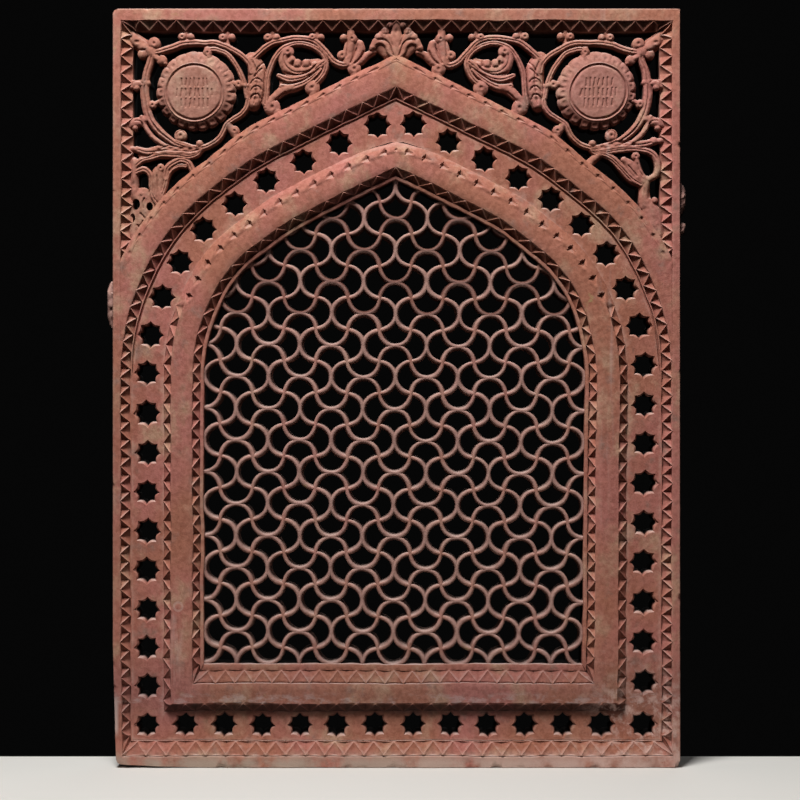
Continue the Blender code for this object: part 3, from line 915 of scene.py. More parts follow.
# the two sides were not spaced alike: how far the stars lie behind even spacing, by share of the way up
starLag = {
    -1: ((0.0, 0.05, 0.22, 0.33, 0.49, 0.65, 0.81, 0.92, 1.0),
         (0.0, 0.0024, 0.0090, 0.0108, 0.0116, 0.0138, 0.0108, 0.0060, 0.0)),
    1: ((0.0, 0.05, 0.30, 0.50, 0.80, 1.0), (0.0, -0.0045, -0.0062, -0.0034, -0.0015, 0.0)),
}


def starCell(number, side, chance):
    # rings of points from the hole at the back, up its wall and over its rim to the cell's border
    total = sum(archLengths(*stars["line"]))
    pitch = total / (stars["upSide"] + 0.5)
    corner = arch["centreX"] + arch["radius"] - stars["line"][0]
    gap = 2 * corner / (stars["onFoot"] + 1)
    before = (number - 0.5) * (pitch if number > 0 else gap)
    after = (number + 0.5) * (pitch if number >= 0 else gap)
    middle = number * (pitch if number >= 0 else gap)
    n = stars["side"]
    if number > 0:
        before, middle, after = (place - np.interp(place / total, *starLag[side])
                                 for place in (before, middle, after))
    elif number == 0:
        after = after - np.interp(after / total, *starLag[side])
    ends = np.interp(np.arange(n + 1), (0, n / 2, n), (before, middle, after))
    rise = np.arange(n + 1) / n

    def border(inner, outer, apexShift, archShift):
        # round the cell: along the inner line, across, back along the outer line, and across
        along = np.concatenate([ends[:-1], np.full(n, after), ends[:0:-1], np.full(n, before)])
        share = np.concatenate([np.zeros(n), rise[:-1], np.ones(n), rise[:0:-1]])
        shift = apexShift * nearApex(np.maximum(along, 0), total)
        onArch = archShift * np.clip((along - archLengths(*stars["line"])[0]) / 0.04, 0, 1)
        inset = inner[0] + shift + (outer[0] + onArch - inner[0] - shift) * share
        foot = inner[1] + (outer[1] - inner[1]) * share
        return starLine(along, inset, foot)

    frontX, frontZ = border(stars["inner"], stars["outer"], stars["apexShift"], stars["archShift"])
    backAcross, backZ = border(stars["backInner"], stars["backOuter"], 0.0, 0.0)
    x0, z0 = starLine(np.array(middle), stars["line"][0], stars["line"][1])
    wander = chance.uniform(-0.0008, 0.0008, 2)
    centre = (float(x0) + wander[0], float(z0) + wander[1])
    tilt = math.radians(chance.uniform(-4, 4))
    step = math.tau / (4 * n)
    first = math.atan2(frontZ[0] - centre[1], frontX[0] - centre[0])
    second = math.atan2(frontZ[2 * n] - centre[1], frontX[2 * n] - centre[0])
    quarter = math.atan2(frontZ[n] - centre[1], frontX[n] - centre[0])
    way = 1 if (quarter - first) % math.tau < math.pi else -1
    mean = (first + (second - way * math.pi - first + math.pi) % math.tau - math.pi + first) / 2
    opening = tilt + round((mean - tilt) / step) * step
    angles = opening + way * step * np.arange(4 * n)
    grow = chance.uniform(-0.0007, 0.0005)
    floor = stars["depth"]
    limit = np.hypot(frontX - centre[0], frontZ - centre[1]) - 0.0008
    backLimit = np.hypot(backAcross - centre[0], backZ - centre[1]) - 0.0008
    limit = np.minimum(limit, np.minimum(np.roll(limit, 1), np.roll(limit, -1)))
    rings = [(backAcross, backZ, thickness)]
    for depth, add in ((thickness, -0.0016), (0.045, -0.0012), (floor + 0.0066, -0.0006),
                       (floor + 0.0034, 0.0), (floor, stars["chamfer"])):
        near = np.minimum(limit, backLimit) if add < -0.001 else limit
        rings.append((*starOutline(centre, angles, grow + add, tilt, near), depth))
    rimX, rimZ, _ = rings[-1]
    for share in (0.08, 0.5):
        rings.append((rimX + (frontX - rimX) * share, rimZ + (frontZ - rimZ) * share, floor))
    rings.append((frontX, frontZ, floor))
    return np.stack([np.stack([x, frontY + depth + 0 * x, z], -1) for x, z, depth in rings])


def makeStarBand(material):
    # the right half's cells, mirrored, and welded along their shared borders into one plate
    chance = np.random.default_rng(21)
    n = stars["side"]
    points, faces, start = [], [], 0
    for number in range(-stars["onFoot"] // 2, stars["upSide"] + 1):
        for flip in (1, -1):
            cell = starCell(number, flip, chance)
            rings, around = cell.shape[:2]
            cells = gridCells(rings, around, closeRows=True)
            # between the last ring and the first, only the plate's own edges have a wall
            kept = np.ones((rings, around), bool)
            kept[-1] = np.arange(around) // n % 2 == 0
            triangles = splitCells(cells[kept.reshape(-1)]) + start
            points.append(cell.reshape(-1, 3) * (flip, 1, 1))
            faces.append(triangles[:, ::flip])
            start += cell.size // 3
    points, faces = weld(np.vstack(points), np.vstack(faces))
    return addPiece("star_band", points, faces, material, sharp=24.0)


# ---- the inner band, its notches and leaves, and the zigzag round the window ----

innerBand = {
    "line": (0.078, 0.1035),
    "halfTeeth": 35,
    "footTeeth": 24,
    "floor": (0.0715, 0.0950),
    "edge": (0.0845, 0.1092),
    "leafEdge": (0.0965, 0.1215),
    "inner": (0.1232, 0.1450),
    "drop": 0.0135,
    "notch": 0.0085,
    "outside": 0.0034,
    "apexPull": 0.0116,
    "buried": 0.0165,
    # the strip that leaves cross, and how high over the springing they start and over what length
    "stripSteps": 6,
    "stripDepth": 0.0007,
    "leavesFrom": 0.118,
    "leavesOver": 0.016,
    # depths over the flat, two, and at the inner edge, two more
    "faceDepths": (0.0005, 0.0006, 0.0013, 0.0030),
}


def makeInnerBand(material):
    # columns: back, buried foot, the bevel from floor to band, the strip that leaves cross on the arch,
    # the flat, and the inner edge
    n = zigzag["steps"]
    more = innerBand["stripSteps"]
    across = np.arange(n + 1) / n
    floor, edge = np.array(innerBand["floor"]), np.array(innerBand["edge"])
    leafEdge, inner = np.array(innerBand["leafEdge"]), np.array(innerBand["inner"])
    slope = floor + (edge - floor) * across[:, None]
    strip = edge + (leafEdge - edge) * (np.arange(1, more + 1) / more)[:, None]
    flat = leafEdge + (inner - (0.0016, 0.0016) - leafEdge) * np.array([[0.5], [1.0]])
    lines = np.vstack([floor - 0.0005, floor - 0.0005, slope, strip, flat, inner - 0.0006, inner, inner])
    pulls = innerBand["apexPull"] * np.clip((inner[0] - lines[:, 0]) / (inner[0] - floor[0]), 0, 1)
    pulls[0] = 0.0
    x, z, phase, above = archLoop(lines[:, 0], lines[:, 1], innerBand["line"],
                                  innerBand["halfTeeth"], innerBand["footTeeth"], 2 * n, pulls)
    halfCount = innerBand["halfTeeth"] * 2 * n
    climbing = (np.arange(len(phase)) < 2 * halfCount)[:, None]
    notched = zigzagDepth(phase[:, None], 1 - across[None, :], innerBand["drop"], innerBand["notch"],
                          innerBand["outside"], climbing) + 0.0008
    notched = np.hstack([notched, np.full((len(phase), more), innerBand["stripDepth"])])
    downward = np.abs(innerBand["halfTeeth"] - phase) + 0.25
    insets = lines[2:n + 3 + more, 0]
    share = (insets - floor[0]) / (leafEdge[0] - floor[0])
    leafy = leafDepth(downward[:, None], share[None, :], innerBand["drop"] - 0.0005) + 0.0008
    onArch = np.clip((above - innerBand["leavesFrom"]) / innerBand["leavesOver"], 0, 1)[:, None]
    depth = np.full_like(x, thickness)
    depth[:, 1] = innerBand["buried"]
    depth[:, 2:n + 3 + more] = notched + (leafy - notched) * onArch
    depth[:, n + 3 + more:-1] = innerBand["faceDepths"]
    crossed = np.zeros(x.shape, bool)
    crossed[:, 2:n + 2] = firstHalves(phase, halfCount, 2 * halfCount)[:, None]
    return loopPiece("inner_band", x, z, depth, material, crossed)


innerZigzag = {
    "line": (0.129, 0.157),
    "halfTeeth": 32,
    "footTeeth": 21,
    "edge": (0.1232, 0.1450),
    "floor": (0.1350, 0.1650),
    "rim": (0.1414, 0.1770),
    "drop": 0.0125,
    "start": 0.0012,
    "buried": (0.0016, 0.0034),
    # the fillet round the window: shares of the way from the floor to the rim, and depths up the sides
    # and along the foot; then the wall
    "fillet": ((0.10, 0.0122, 0.0140), (0.45, 0.0120, 0.0140), (0.80, 0.0122, 0.0141), (0.95, 0.0130, 0.0147),
               (1.0, 0.0150, 0.0162), (1.0, 0.0450, 0.0450)),
    # the row along the foot is shallower, and starts lower
    "footShare": 0.4,
    "footLower": 0.0018,
}


def makeInnerZigzag(material):
    # columns: buried edge, the slope with its pits, the thin fillet round the window, and its wall
    n = zigzag["steps"]
    across = np.arange(n + 1) / n
    edge, floor, rim = (np.array(innerZigzag[name]) for name in ("edge", "floor", "rim"))
    slope = edge + (floor - edge) * across[:, None]
    fillet = np.array(innerZigzag["fillet"])
    tail = floor + (rim - floor) * fillet[:, :1]
    inBorder, buriedDepth = innerZigzag["buried"]
    lines = np.vstack([edge - inBorder, slope, tail, rim, edge])
    x, z, phase, _ = archLoop(lines[:, 0], lines[:, 1], innerZigzag["line"],
                              innerZigzag["halfTeeth"], innerZigzag["footTeeth"], 2 * n)
    halfCount = innerZigzag["halfTeeth"] * 2 * n
    climbing = (np.arange(len(phase)) < 2 * halfCount)[:, None]
    depth = np.full_like(x, thickness)
    depth[:, 0] = buriedDepth
    depth[:, 1:n + 2] = zigzagDepth(phase[:, None], across[None, :], innerZigzag["drop"], zigzag["pit"],
                                    zigzag["sunk"], climbing, innerZigzag["footShare"]) + innerZigzag["start"]
    depth[:, n + 2:-2] = np.where(climbing, fillet[:, 1], fillet[:, 2])
    depth[:, 1] += np.where(climbing[:, 0], 0, innerZigzag["footLower"])
    crossed = np.zeros(x.shape, bool)
    crossed[:, 1:n + 1] = ~firstHalves(phase, halfCount, 2 * halfCount)[:, None]
    return loopPiece("inner_zigzag", x, z, depth, material, crossed)


# ---- the lattice ----

lattice = {
    "columns": 12,
    "foot": 0.1746,
    "rowPitch": 0.0548,
    "front": 0.0182,
    "back": 0.0530,
    "width": 0.0077,
    "arcSteps": 13,
    "sweep": math.radians(84),
    "rows": 18,
    "lean": 0.009,
    "buried": 0.006,
    # round a rib: across, in half widths, and depth behind its face; it spreads to its back
    "section": ((0.0, 0.0), (0.56, 0.0006), (0.90, 0.0026), (1.04, 0.0070)),
    "backSpread": 1.42,
    # one family of ribs lies a little under the other, by this at the face and by twice it at the back
    "under": 0.0003,
    # how pale the ribs have weathered, less so where they cross, over this share of an arc, and how much of
    # the walls' painted shade their sides take
    "ashen": 0.82,
    "atCrossing": 0.5,
    "crossing": 0.12,
    "wallShadeShare": 0.62,
}


def insideArch(x, z, inset, foot):
    # under the tangents to the apex, inside the arcs, between the uprights and over the foot
    x = np.abs(x)
    bend = np.arctan2(z - arch["springZ"], x - arch["centreX"])
    reach = arch["radius"] - inset - shoulder(np.minimum(bend, archTurn))
    dx, dz = x - arch["centreX"], z - arch["springZ"]
    full = arch["radius"] - inset
    endX, endZ = arch["centreX"] + full * math.cos(archTurn), arch["springZ"] + full * math.sin(archTurn)
    under = z <= endZ + (endX - x) * math.tan(arch["slope"])
    inArc = (np.hypot(dx, dz) <= reach) | (np.arctan2(dz, dx) > archTurn)
    return under & np.where(dz < 0, x <= arch["centreX"] + reach, inArc) & (z >= foot)


def ribSection(front, back):
    # across and depth of points round a rib: a rounded worn face, and sides that spread to the back
    half = np.array([*lattice["section"], (lattice["backSpread"], back - front)])
    across = np.concatenate([-half[::-1, 0], half[1:, 0]]) * lattice["width"] / 2
    return across, front + np.concatenate([half[::-1, 1], half[1:, 1]])


def sweptRib(path, across, depth, widths):
    # a section carried along a path in the slab's plane, square to it, with both ends closed
    way = np.gradient(path, axis=0)
    way /= np.linalg.norm(way, axis=1, keepdims=True) + 1e-12
    side = np.stack([way[:, 1], -way[:, 0]], -1)
    flat = path[:, None, :] + side[:, None, :] * (across[None, :] * widths[:, None])[..., None]
    points = np.stack([flat[..., 0], frontY + np.broadcast_to(depth, flat.shape[:2]), flat[..., 1]], -1)
    points = points.reshape(-1, 3)
    return points, facingOut(points, stripFaces(*flat.shape[:2]))


def makeLattice(material):
    # waves of wide arcs, one family along the rows and one up the columns, that touch in pairs
    rim = innerZigzag["rim"]
    sweep = lattice["sweep"]
    pitch = 2 * (arch["centreX"] + arch["radius"] - rim[0]) / lattice["columns"]
    rowPitch = lattice["rowPitch"]
    chance = np.random.default_rng(33)
    turn = np.linspace(-1, 1, lattice["arcSteps"], endpoint=False) * sweep
    along = 0.5 * np.sin(turn) / math.sin(sweep)
    rise = 0.5 * (np.cos(turn) - math.cos(sweep)) / (1 - math.cos(sweep))
    half = lattice["columns"] // 2
    runs = []
    for row in range(-1, lattice["rows"]):
        path = []
        for column in range(-half - 1, half + 2):
            bulge = -1 if (column + row) % 2 == 0 else 1
            path.append(np.stack([(column + along) * pitch,
                                  lattice["foot"] + (row + 0.5 + bulge * rise) * rowPitch], -1))
        runs.append((np.vstack(path), 0))
    for column in range(-half - 1, half + 1):
        path = []
        for row in range(-1, lattice["rows"]):
            bulge = -1 if (column + row) % 2 == 1 else 1
            path.append(np.stack([(column + 0.5 + bulge * rise) * pitch,
                                  lattice["foot"] + (row + along) * rowPitch], -1))
        runs.append((np.vstack(path), 1))
    allPoints, allFaces, allAshen, start = [], [], [], 0
    for path, family in runs:
        path[:, 1] -= lattice["lean"] * path[:, 0]
        lower = lattice["under"] * family
        across, depth = ribSection(lattice["front"] + lower, lattice["back"] - 2 * lower)
        # each stretch inside the window is a rib of its own, if it is long enough to show
        kept = insideArch(path[:, 0], path[:, 1], rim[0] - lattice["buried"], rim[1] - lattice["buried"])
        edges = np.flatnonzero(np.diff(np.concatenate([[0], kept.astype(int), [0]])))
        for first, last in zip(edges[::2], edges[1::2]):
            if last - first < 4:
                continue
            phase = chance.uniform(0, 6, 2)
            run = np.arange(last - first) / lattice["arcSteps"]
            widths = 1 + 0.07 * np.sin(run * 1.7 + phase[0]) + 0.05 * np.sin(run * 4.1 + phase[1])
            points, faces = sweptRib(path[first:last], across, depth, widths)
            away = np.abs((np.arange(first, last) / lattice["arcSteps"] + 0.5) % 1 - 0.5)
            pale = lattice["ashen"] - lattice["atCrossing"] * np.exp(-(away / lattice["crossing"]) ** 2)
            allAshen.append(np.repeat(pale, len(across)))
            allPoints.append(points)
            allFaces.append(faces + start)
            start += len(points)
    return addPiece("lattice", np.vstack(allPoints), np.vstack(allFaces), material, sharp=50.0,
                    ashen=np.concatenate(allAshen), wallShadeShare=lattice["wallShadeShare"])


# ---- the pierced spandrels ----

spandrel = {
    "grid": 0.00125,
    "crest": 0.0078,
    "fall": 0.0042,
    "steep": 2.6,
    # the webs' extra depth, the length of stem that has a groove along it, and that groove's depth
    "webDeeper": 0.0045,
    "splitOver": 0.075,
    "split": 0.0021,
    "back": 0.0736,
    "smooth": 6,
    "ashen": 0.15,
}
# The parts of both spandrels, in millimetres out from the middle line and down from the top edge:
# stems, each with its half widths along its length and the points that it runs through;
# webs, given as stems are, the deeper stone that joins stems which lie close together;
# lobes, each with its place, its size and the size of the eye drilled in it;
# grooves, each with its depth, its half width and the points that it runs through;
# pits, each with its place, its two half sizes and its depth;
# openings, each with its place and its two half sizes
bothSides = {
    "webs": (
        ((12, 15, 17, 17, 15, 12), (248, 84), (240, 100), (238, 118), (238, 136), (241, 150), (245, 162)),
        ((8, 13, 16, 15, 11), (196, 84), (184, 100), (170, 106), (154, 101), (136, 94)),
        ((9, 11, 11, 8), (192, 124), (178, 124), (160, 118), (138, 103)),
        ((13, 15, 12), (80, 90), (74, 73), (72, 60)),
        ((13, 13), (454, 50), (426, 70)),
        ((4, 4), (361, 58), (361, 32)),
        ((4, 4), (290, 58), (290, 32)),
        ((4, 4), (213, 56), (213, 32)),
        ((4, 4), (137, 56), (137, 32)),
    ),
    "stems": (
        # the corner arm and its link to the disc
        ((9, 10, 9, 7), (468, 38), (454, 50), (440, 61), (423, 73)),
        ((6, 4.5), (419, 79), (398, 93)),
        # the ring round the medallion: its top, its inner rib, its outer side, and its foot
        ((5.5, 6, 6, 5.5, 5.5, 5, 5), (422, 74), (404, 72), (387, 67), (370, 60), (350, 57), (330, 57),
         (312, 57), (295, 61), (280, 69), (264, 79), (252, 93), (248, 108)),
        ((4.6,), (324, 71), (314, 67.5), (302, 70), (290, 76), (280, 88), (271, 102), (264.5, 117),
         (259, 134), (256, 151)),
        ((6, 6.5, 7.5, 8, 7.5, 7, 6, 5.5), (420, 78), (423.5, 93), (428.5, 109), (431, 126), (432, 143),
         (430, 160), (427, 175), (420, 191), (410, 204), (398, 216), (384, 227), (367, 235), (350, 239)),
        ((3.5, 4.4, 4.4, 4), (437, 184), (432, 198), (425, 210), (416, 220), (406, 228), (396, 235)),
        ((4.8,), (377, 227), (363, 233), (348, 237), (331, 236), (316, 230), (304, 220), (297, 208),
         (292, 198), (280, 189), (266, 180), (257, 168), (254, 156)),
        # bridges from the ring to the border, the disc and the band
        ((6,), (324, 67), (322, 82)),
        ((6.5, 7, 10), (428, 126), (441, 127), (462, 130)),
        ((4.5,), (418, 163), (404, 157)),
        ((7, 8, 9), (427, 187), (442, 192), (464, 198)),
        ((5.5,), (281, 127), (259, 131)),
        ((6.5,), (288, 199), (273, 222)),
        # the upright sheath
        ((9, 12, 13.5, 13.5, 12, 9), (247, 88), (240, 105), (238.5, 122), (240, 139), (242, 153), (244, 162)),
        # the second scroll: outer rib, inner rib, and the bridges to the border
        ((5.5,), (249, 88), (237, 76), (225, 65), (213, 57), (198, 53), (182, 50), (167, 49), (151, 51),
         (138, 57), (126, 69), (115, 81), (105, 91), (91, 96), (79, 92)),
        ((4.8,), (225, 163), (222.5, 148), (221.5, 131), (220, 114), (215, 98), (208, 83), (197.5, 69),
         (184, 61), (168.5, 57.5), (153, 60), (139, 66), (129, 74), (122, 85), (120.5, 97), (124, 109),
         (132.5, 121), (141, 129)),
        # the half palmette in the second scroll: its stem, three leaves, and ties to the band
        ((9, 8.5, 10, 11, 11, 10, 8, 6), (191, 71), (194, 85), (189, 98), (177, 107), (162, 108),
         (146, 105), (134, 98), (124, 91)),
        ((4, 6.5, 7, 6.5, 6, 5), (202, 114), (187, 120.5), (172, 120), (156.5, 115.5), (143, 107), (129, 95)),
        ((4, 7.5, 7, 6, 5, 4), (198, 132), (182, 134), (168.5, 131), (155, 124), (143, 115.5), (131, 103.5)),
        ((7, 8, 7, 6, 5), (180, 133), (194, 138), (206, 148), (216.5, 158), (223, 168.5)),
        ((8,), (144, 136), (140, 160)),
        ((9,), (213, 168), (197, 188)),
        # the third palmette: stem, fan of leaves, ties
        ((8.5, 9, 9, 7, 6), (83, 92), (83, 74), (80, 61), (78, 50), (78, 33)),
        ((6.5, 7.5, 7.5, 6), (78, 95), (68, 83), (61, 69), (62, 59)),
        ((7, 7, 6, 4), (75, 97), (61, 88), (50, 78), (38, 73)),
        ((8,), (73, 105), (68, 126)),
    ),
    "lobes": (
        (416.5, 59, 10.5, 2.6), (436, 78, 8.6, 0), (421.5, 74, 10, 0), (403, 88, 8.8, 0),
        (368, 47.5, 7.0, 2.0), (353, 47.5, 6.2, 0), (298, 47, 7.0, 2.0), (282, 46.5, 6.2, 0),
        (324, 73, 8.0, 2.2),
        (446, 134, 6, 0), (418, 163, 7.8, 2.0), (449, 203, 5, 0), (370, 216.5, 10.5, 2.6), (338, 230, 5.8, 0),
        (271, 129, 8, 2.0), (278, 209, 8.8, 2.2), (221, 47.5, 7.0, 2.0), (206, 47, 6.2, 0),
        (144.5, 47.5, 6.6, 2.0),
        (129.5, 48, 6, 0), (144.5, 134.5, 13, 3.4), (213, 168.5, 14, 3.4), (187, 72.5, 10.8, 2.6),
        (181, 87, 8.0, 0), (171, 93, 8.2, 0), (155.5, 94, 8.2, 0), (140, 97, 7.2, 0),
        (90.5, 49.5, 6.8, 0), (76, 51, 9, 2.0), (93, 79.5, 8.5, 2.2), (72.5, 102.5, 11.5, 3.0),
    ),
    "grooves": (
        (2.6, 1.5, (331, 64.5), (314, 61.5), (297, 66), (283, 75), (271, 88), (263, 103), (257.5, 122)),
        (2.6, 1.5, (428.5, 191), (420, 206), (408, 219), (394, 228.5), (382, 233.5)),
        (2.4, 1.3, (418, 194), (408, 208), (396, 218), (382, 227.5)),
        (2.4, 1.4, (441, 71), (430, 71)),
        (2.2, 1.3, (454, 133), (451, 124), (440.5, 122), (433.5, 129)),
        (2.2, 1.3, (451, 191), (440.5, 191), (433.5, 199)),
        (1.8, 1.2, (375.5, 221), (377, 213), (368.5, 208), (362, 215)),
        (3.2, 1.6, (222, 84), (234, 97), (241, 108)),
        (3.2, 1.6, (229, 101), (238, 109), (245, 118)),
        (2.6, 1.4, (229, 128), (234, 121), (241, 119), (247, 123), (251, 130)),
        (2.8, 1.4, (230, 141), (235, 134), (241, 132), (247, 136), (251, 143)),
        (3.2, 1.6, (232, 157), (236, 148), (242, 146), (248, 150), (251, 158)),
        (2.4, 1.3, (223, 96), (226, 116), (227, 138), (229, 156)),
        (2.4, 1.3, (254, 92), (256, 112), (255, 136), (252, 156)),
        (2.6, 1.5, (242, 84.5), (225, 73), (213, 64), (199, 59), (182, 54.5), (165, 53), (148, 56.5),
        (134, 66)),
        (4.0, 1.6, (196, 108), (182, 111.5), (168.5, 112), (155, 109), (143, 100), (134, 91)),
        (4.0, 1.6, (197, 126), (182, 127.5), (167, 124), (151, 116), (139, 107), (129, 99)),
        (2.2, 1.3, (189, 141), (200, 150), (209, 160)),
        (2.6, 1.3, (163, 97), (162, 86)), (2.6, 1.3, (148, 98), (148, 87)), (2.4, 1.3, (178, 98), (178, 88)),
        (3.4, 1.5, (79.5, 95), (72.5, 80), (67.5, 66)),
        (3.4, 1.5, (74, 96), (62, 84), (55.5, 70)),
        (2.6, 1.4, (86, 85), (85, 68), (84.5, 52)),
    ),
    "pits": (
        (457, 46, 4.2, 3.0, 3.4), (445, 56, 4.2, 3.0, 3.4), (185.5, 83, 3.4, 5.0, 3.2),
        (241, 125, 4.0, 2.6, 1.6), (241, 139, 4.0, 2.6, 1.8), (242, 154, 4.4, 3.2, 2.6),
        (178, 92, 2.0, 3.2, 2.4),
        (163, 93, 2.0, 3.2, 2.6), (148, 95, 2.0, 3.2, 2.4),
    ),
    "openings": (),
}
# the lower corners differ
leftCorner = {
    "webs": (
        ((8, 9, 9, 7), (436, 250), (408, 248), (372, 247), (346, 244)),
        ((10, 13, 15), (412, 302), (416, 325), (426, 345)),
        ((10, 10), (453, 262), (453, 300)),
    ),
    "stems": (
        # the lower sheath, its rib and its tip
        ((6, 7, 10, 11, 11, 9.5, 6), (446, 240), (428, 245), (410, 244), (391, 242), (370, 243),
         (353, 244), (338, 240)),
        ((6, 5.5, 4.5, 4.5, 4.5, 4), (449, 268), (437, 259), (423, 255), (408, 251), (391, 250),
         (374, 251), (357, 253), (343, 249), (336, 240)),
        ((5,), (464, 238), (446, 240)),
        # the lower corner: border side, curl, trumpet leaf, arc and the web between its small openings
        ((7, 6.5, 7.5, 9), (452, 262), (452, 293), (449, 319), (441, 329)),
        ((5, 5.5, 5, 4.5, 4.5, 5.5, 7), (447, 279), (434, 275), (425, 281), (421.5, 293), (421.5, 307),
         (418, 321), (409, 333)),
        ((11, 10.5, 10, 11), (408, 280), (410, 297), (410, 314), (403, 330)),
        ((5.5, 6, 6, 5.5, 5.5), (396, 290), (392.5, 274), (382, 264), (370, 259), (358, 262), (351, 273),
         (346, 288)),
        ((4.4, 4.4, 4, 4), (404, 322), (397.5, 304), (392.5, 286), (384, 274), (372, 268), (361, 269)),
        ((17, 22, 24, 20), (437, 322), (437, 345), (441, 366), (446, 386)),
    ),
    "lobes": (
        (404, 273, 7.8, 2.0), (438.5, 316, 6, 0),
    ),
    "grooves": (
        (2.4, 1.4, (439, 256), (425, 251), (413, 246)),
        (2.0, 1.2, (405, 240), (388, 234), (372, 236)),
        (2.2, 1.3, (391, 280), (382, 270), (370, 264), (360, 267)),
        (2.0, 1.4, (411, 283), (411, 300), (410, 316)),
        (2.2, 1.4, (427, 284), (427, 300), (424, 316)),
        (2.6, 1.5, (441, 349), (434, 356), (428, 366)),
        (2.6, 1.5, (434, 362), (438, 370), (444, 374)),
        (2.4, 1.4, (446, 369), (439, 378), (436, 386)),
        (2.4, 1.4, (433, 322), (436, 332), (434, 343)),
        (2.0, 1.4, (418, 352), (424, 358), (431, 360)),
    ),
    "pits": (
        (408, 242, 4.0, 3.0, 4.0), (387, 238.5, 6.0, 2.8, 4.2), (368.5, 239, 5.0, 2.8, 4.0),
        (354, 241, 4.0, 3.0, 3.6), (343, 240.5, 3.0, 2.6, 3.2), (409, 300, 2.4, 9.0, 1.6),
        (452, 300, 2.6, 7.0, 1.8),
    ),
    "openings": ((447.5, 334.5, 7.2, 9.5), (424, 337.5, 5.6, 7.4), (453, 358, 5.0, 8.0)),
}
rightCorner = {
    "webs": (
        ((6, 7, 7, 6), (430, 238), (408, 238), (372, 240), (346, 242)),
        ((8, 9, 10), (426, 298), (426, 314), (427, 330)),
    ),
    "stems": (
        # the lower sheath, its rib and its bud
        ((6, 7, 9, 9, 9, 8, 6), (443, 227), (428, 231), (410, 233), (391, 233), (370, 235), (353, 239),
         (338, 240)),
        ((6, 5.5, 5, 4.5, 4.5, 4.5, 4), (448, 262), (441, 250), (429, 243), (408, 240), (391, 241),
         (374, 243), (357, 246), (343, 247), (336, 240)),
        ((5,), (464, 226), (443, 226)),
        ((6, 7, 8), (350, 250), (342, 256), (334, 264)),
        # the border side, the leaf in three strokes, the stalk under it and the plain web
        ((6, 6, 5.5, 5), (447, 260), (449, 271), (445, 283), (432, 292)),
        ((4.5, 5, 5.5, 6, 7, 7.5, 6.5, 5), (345, 255), (351, 248), (362, 250), (374, 257.5), (385, 269.5),
         (396, 282), (408, 293), (420, 300)),
        ((5, 9, 11, 9, 6), (391, 258), (400, 267), (408, 279), (416, 289), (424, 296)),
        ((4.5, 5, 5), (411, 253), (414, 268), (420, 283), (429, 293)),
        ((7, 6.5, 6.5, 8, 10), (429, 292), (427, 303), (425, 316), (425, 326), (428, 336)),
        ((10, 18, 24, 22), (430, 333), (437, 347), (441, 366), (446, 386)),
    ),
    "lobes": ((410.5, 252.5, 7.2, 2.0), (442, 226, 7.0, 0), (443, 328, 6, 0)),
    "grooves": (
        (2.0, 1.2, (405, 229), (388, 226), (372, 229)),
        (2.2, 1.3, (352, 252), (362, 254), (373, 261), (384, 273), (394, 285), (405, 295)),
        (2.0, 1.3, (396, 266), (405, 277), (415, 288)),
        (2.0, 1.3, (412, 262), (416, 276), (424, 288)),
    ),
    "pits": (
        (408, 232, 4.0, 3.0, 4.0), (387, 229, 6.0, 2.8, 4.2), (368.5, 231, 5.0, 2.8, 4.0),
        (354, 236, 4.0, 3.0, 3.6),
        (426, 312, 2.6, 8.0, 1.6),
    ),
    "openings": (),
}


def smoothLine(points, each):
    # a line that bends evenly through its points, with so many steps to each span
    points = np.asarray(points, float)
    if len(points) < 3:
        return points
    ends = np.vstack([2 * points[0] - points[1], points, 2 * points[-1] - points[-2]])
    t = (np.arange(each) / each)[None, :, None]
    a, b, c, d = (ends[place:len(ends) - 3 + place, None, :] for place in range(4))
    spans = 0.5 * (2 * b + (c - a) * t + (2 * a - 5 * b + 4 * c - d) * t ** 2
                   + (3 * b - a - 3 * c + d) * t ** 3)
    return np.vstack([spans.reshape(-1, 2), points[-1:]])


def alongLine(out, down, line):
    # how far each place lies from a line, and the share of the line's length at its nearest point
    best = np.full(out.shape, 1e9)
    share = np.zeros(out.shape)
    lengths = np.hypot(*np.diff(line, axis=0).T)
    starts = np.concatenate([[0], np.cumsum(lengths)])
    for (ax, ay), (bx, by), length, start in zip(line[:-1], line[1:], lengths, starts):
        t = np.clip(((out - ax) * (bx - ax) + (down - ay) * (by - ay)) / length ** 2, 0, 1)
        reach = np.hypot(out - ax - t * (bx - ax), down - ay - t * (by - ay))
        nearer = reach < best
        best = np.where(nearer, reach, best)
        share = np.where(nearer, (start + t * length) / starts[-1], share)
    return best, share


def nearBox(out, down, points, margin):
    # the places inside a box round the points
    low, high = np.min(points, 0) - margin, np.max(points, 0) + margin
    return np.nonzero((out > low[0]) & (out < high[0]) & (down > low[1]) & (down < high[1]))


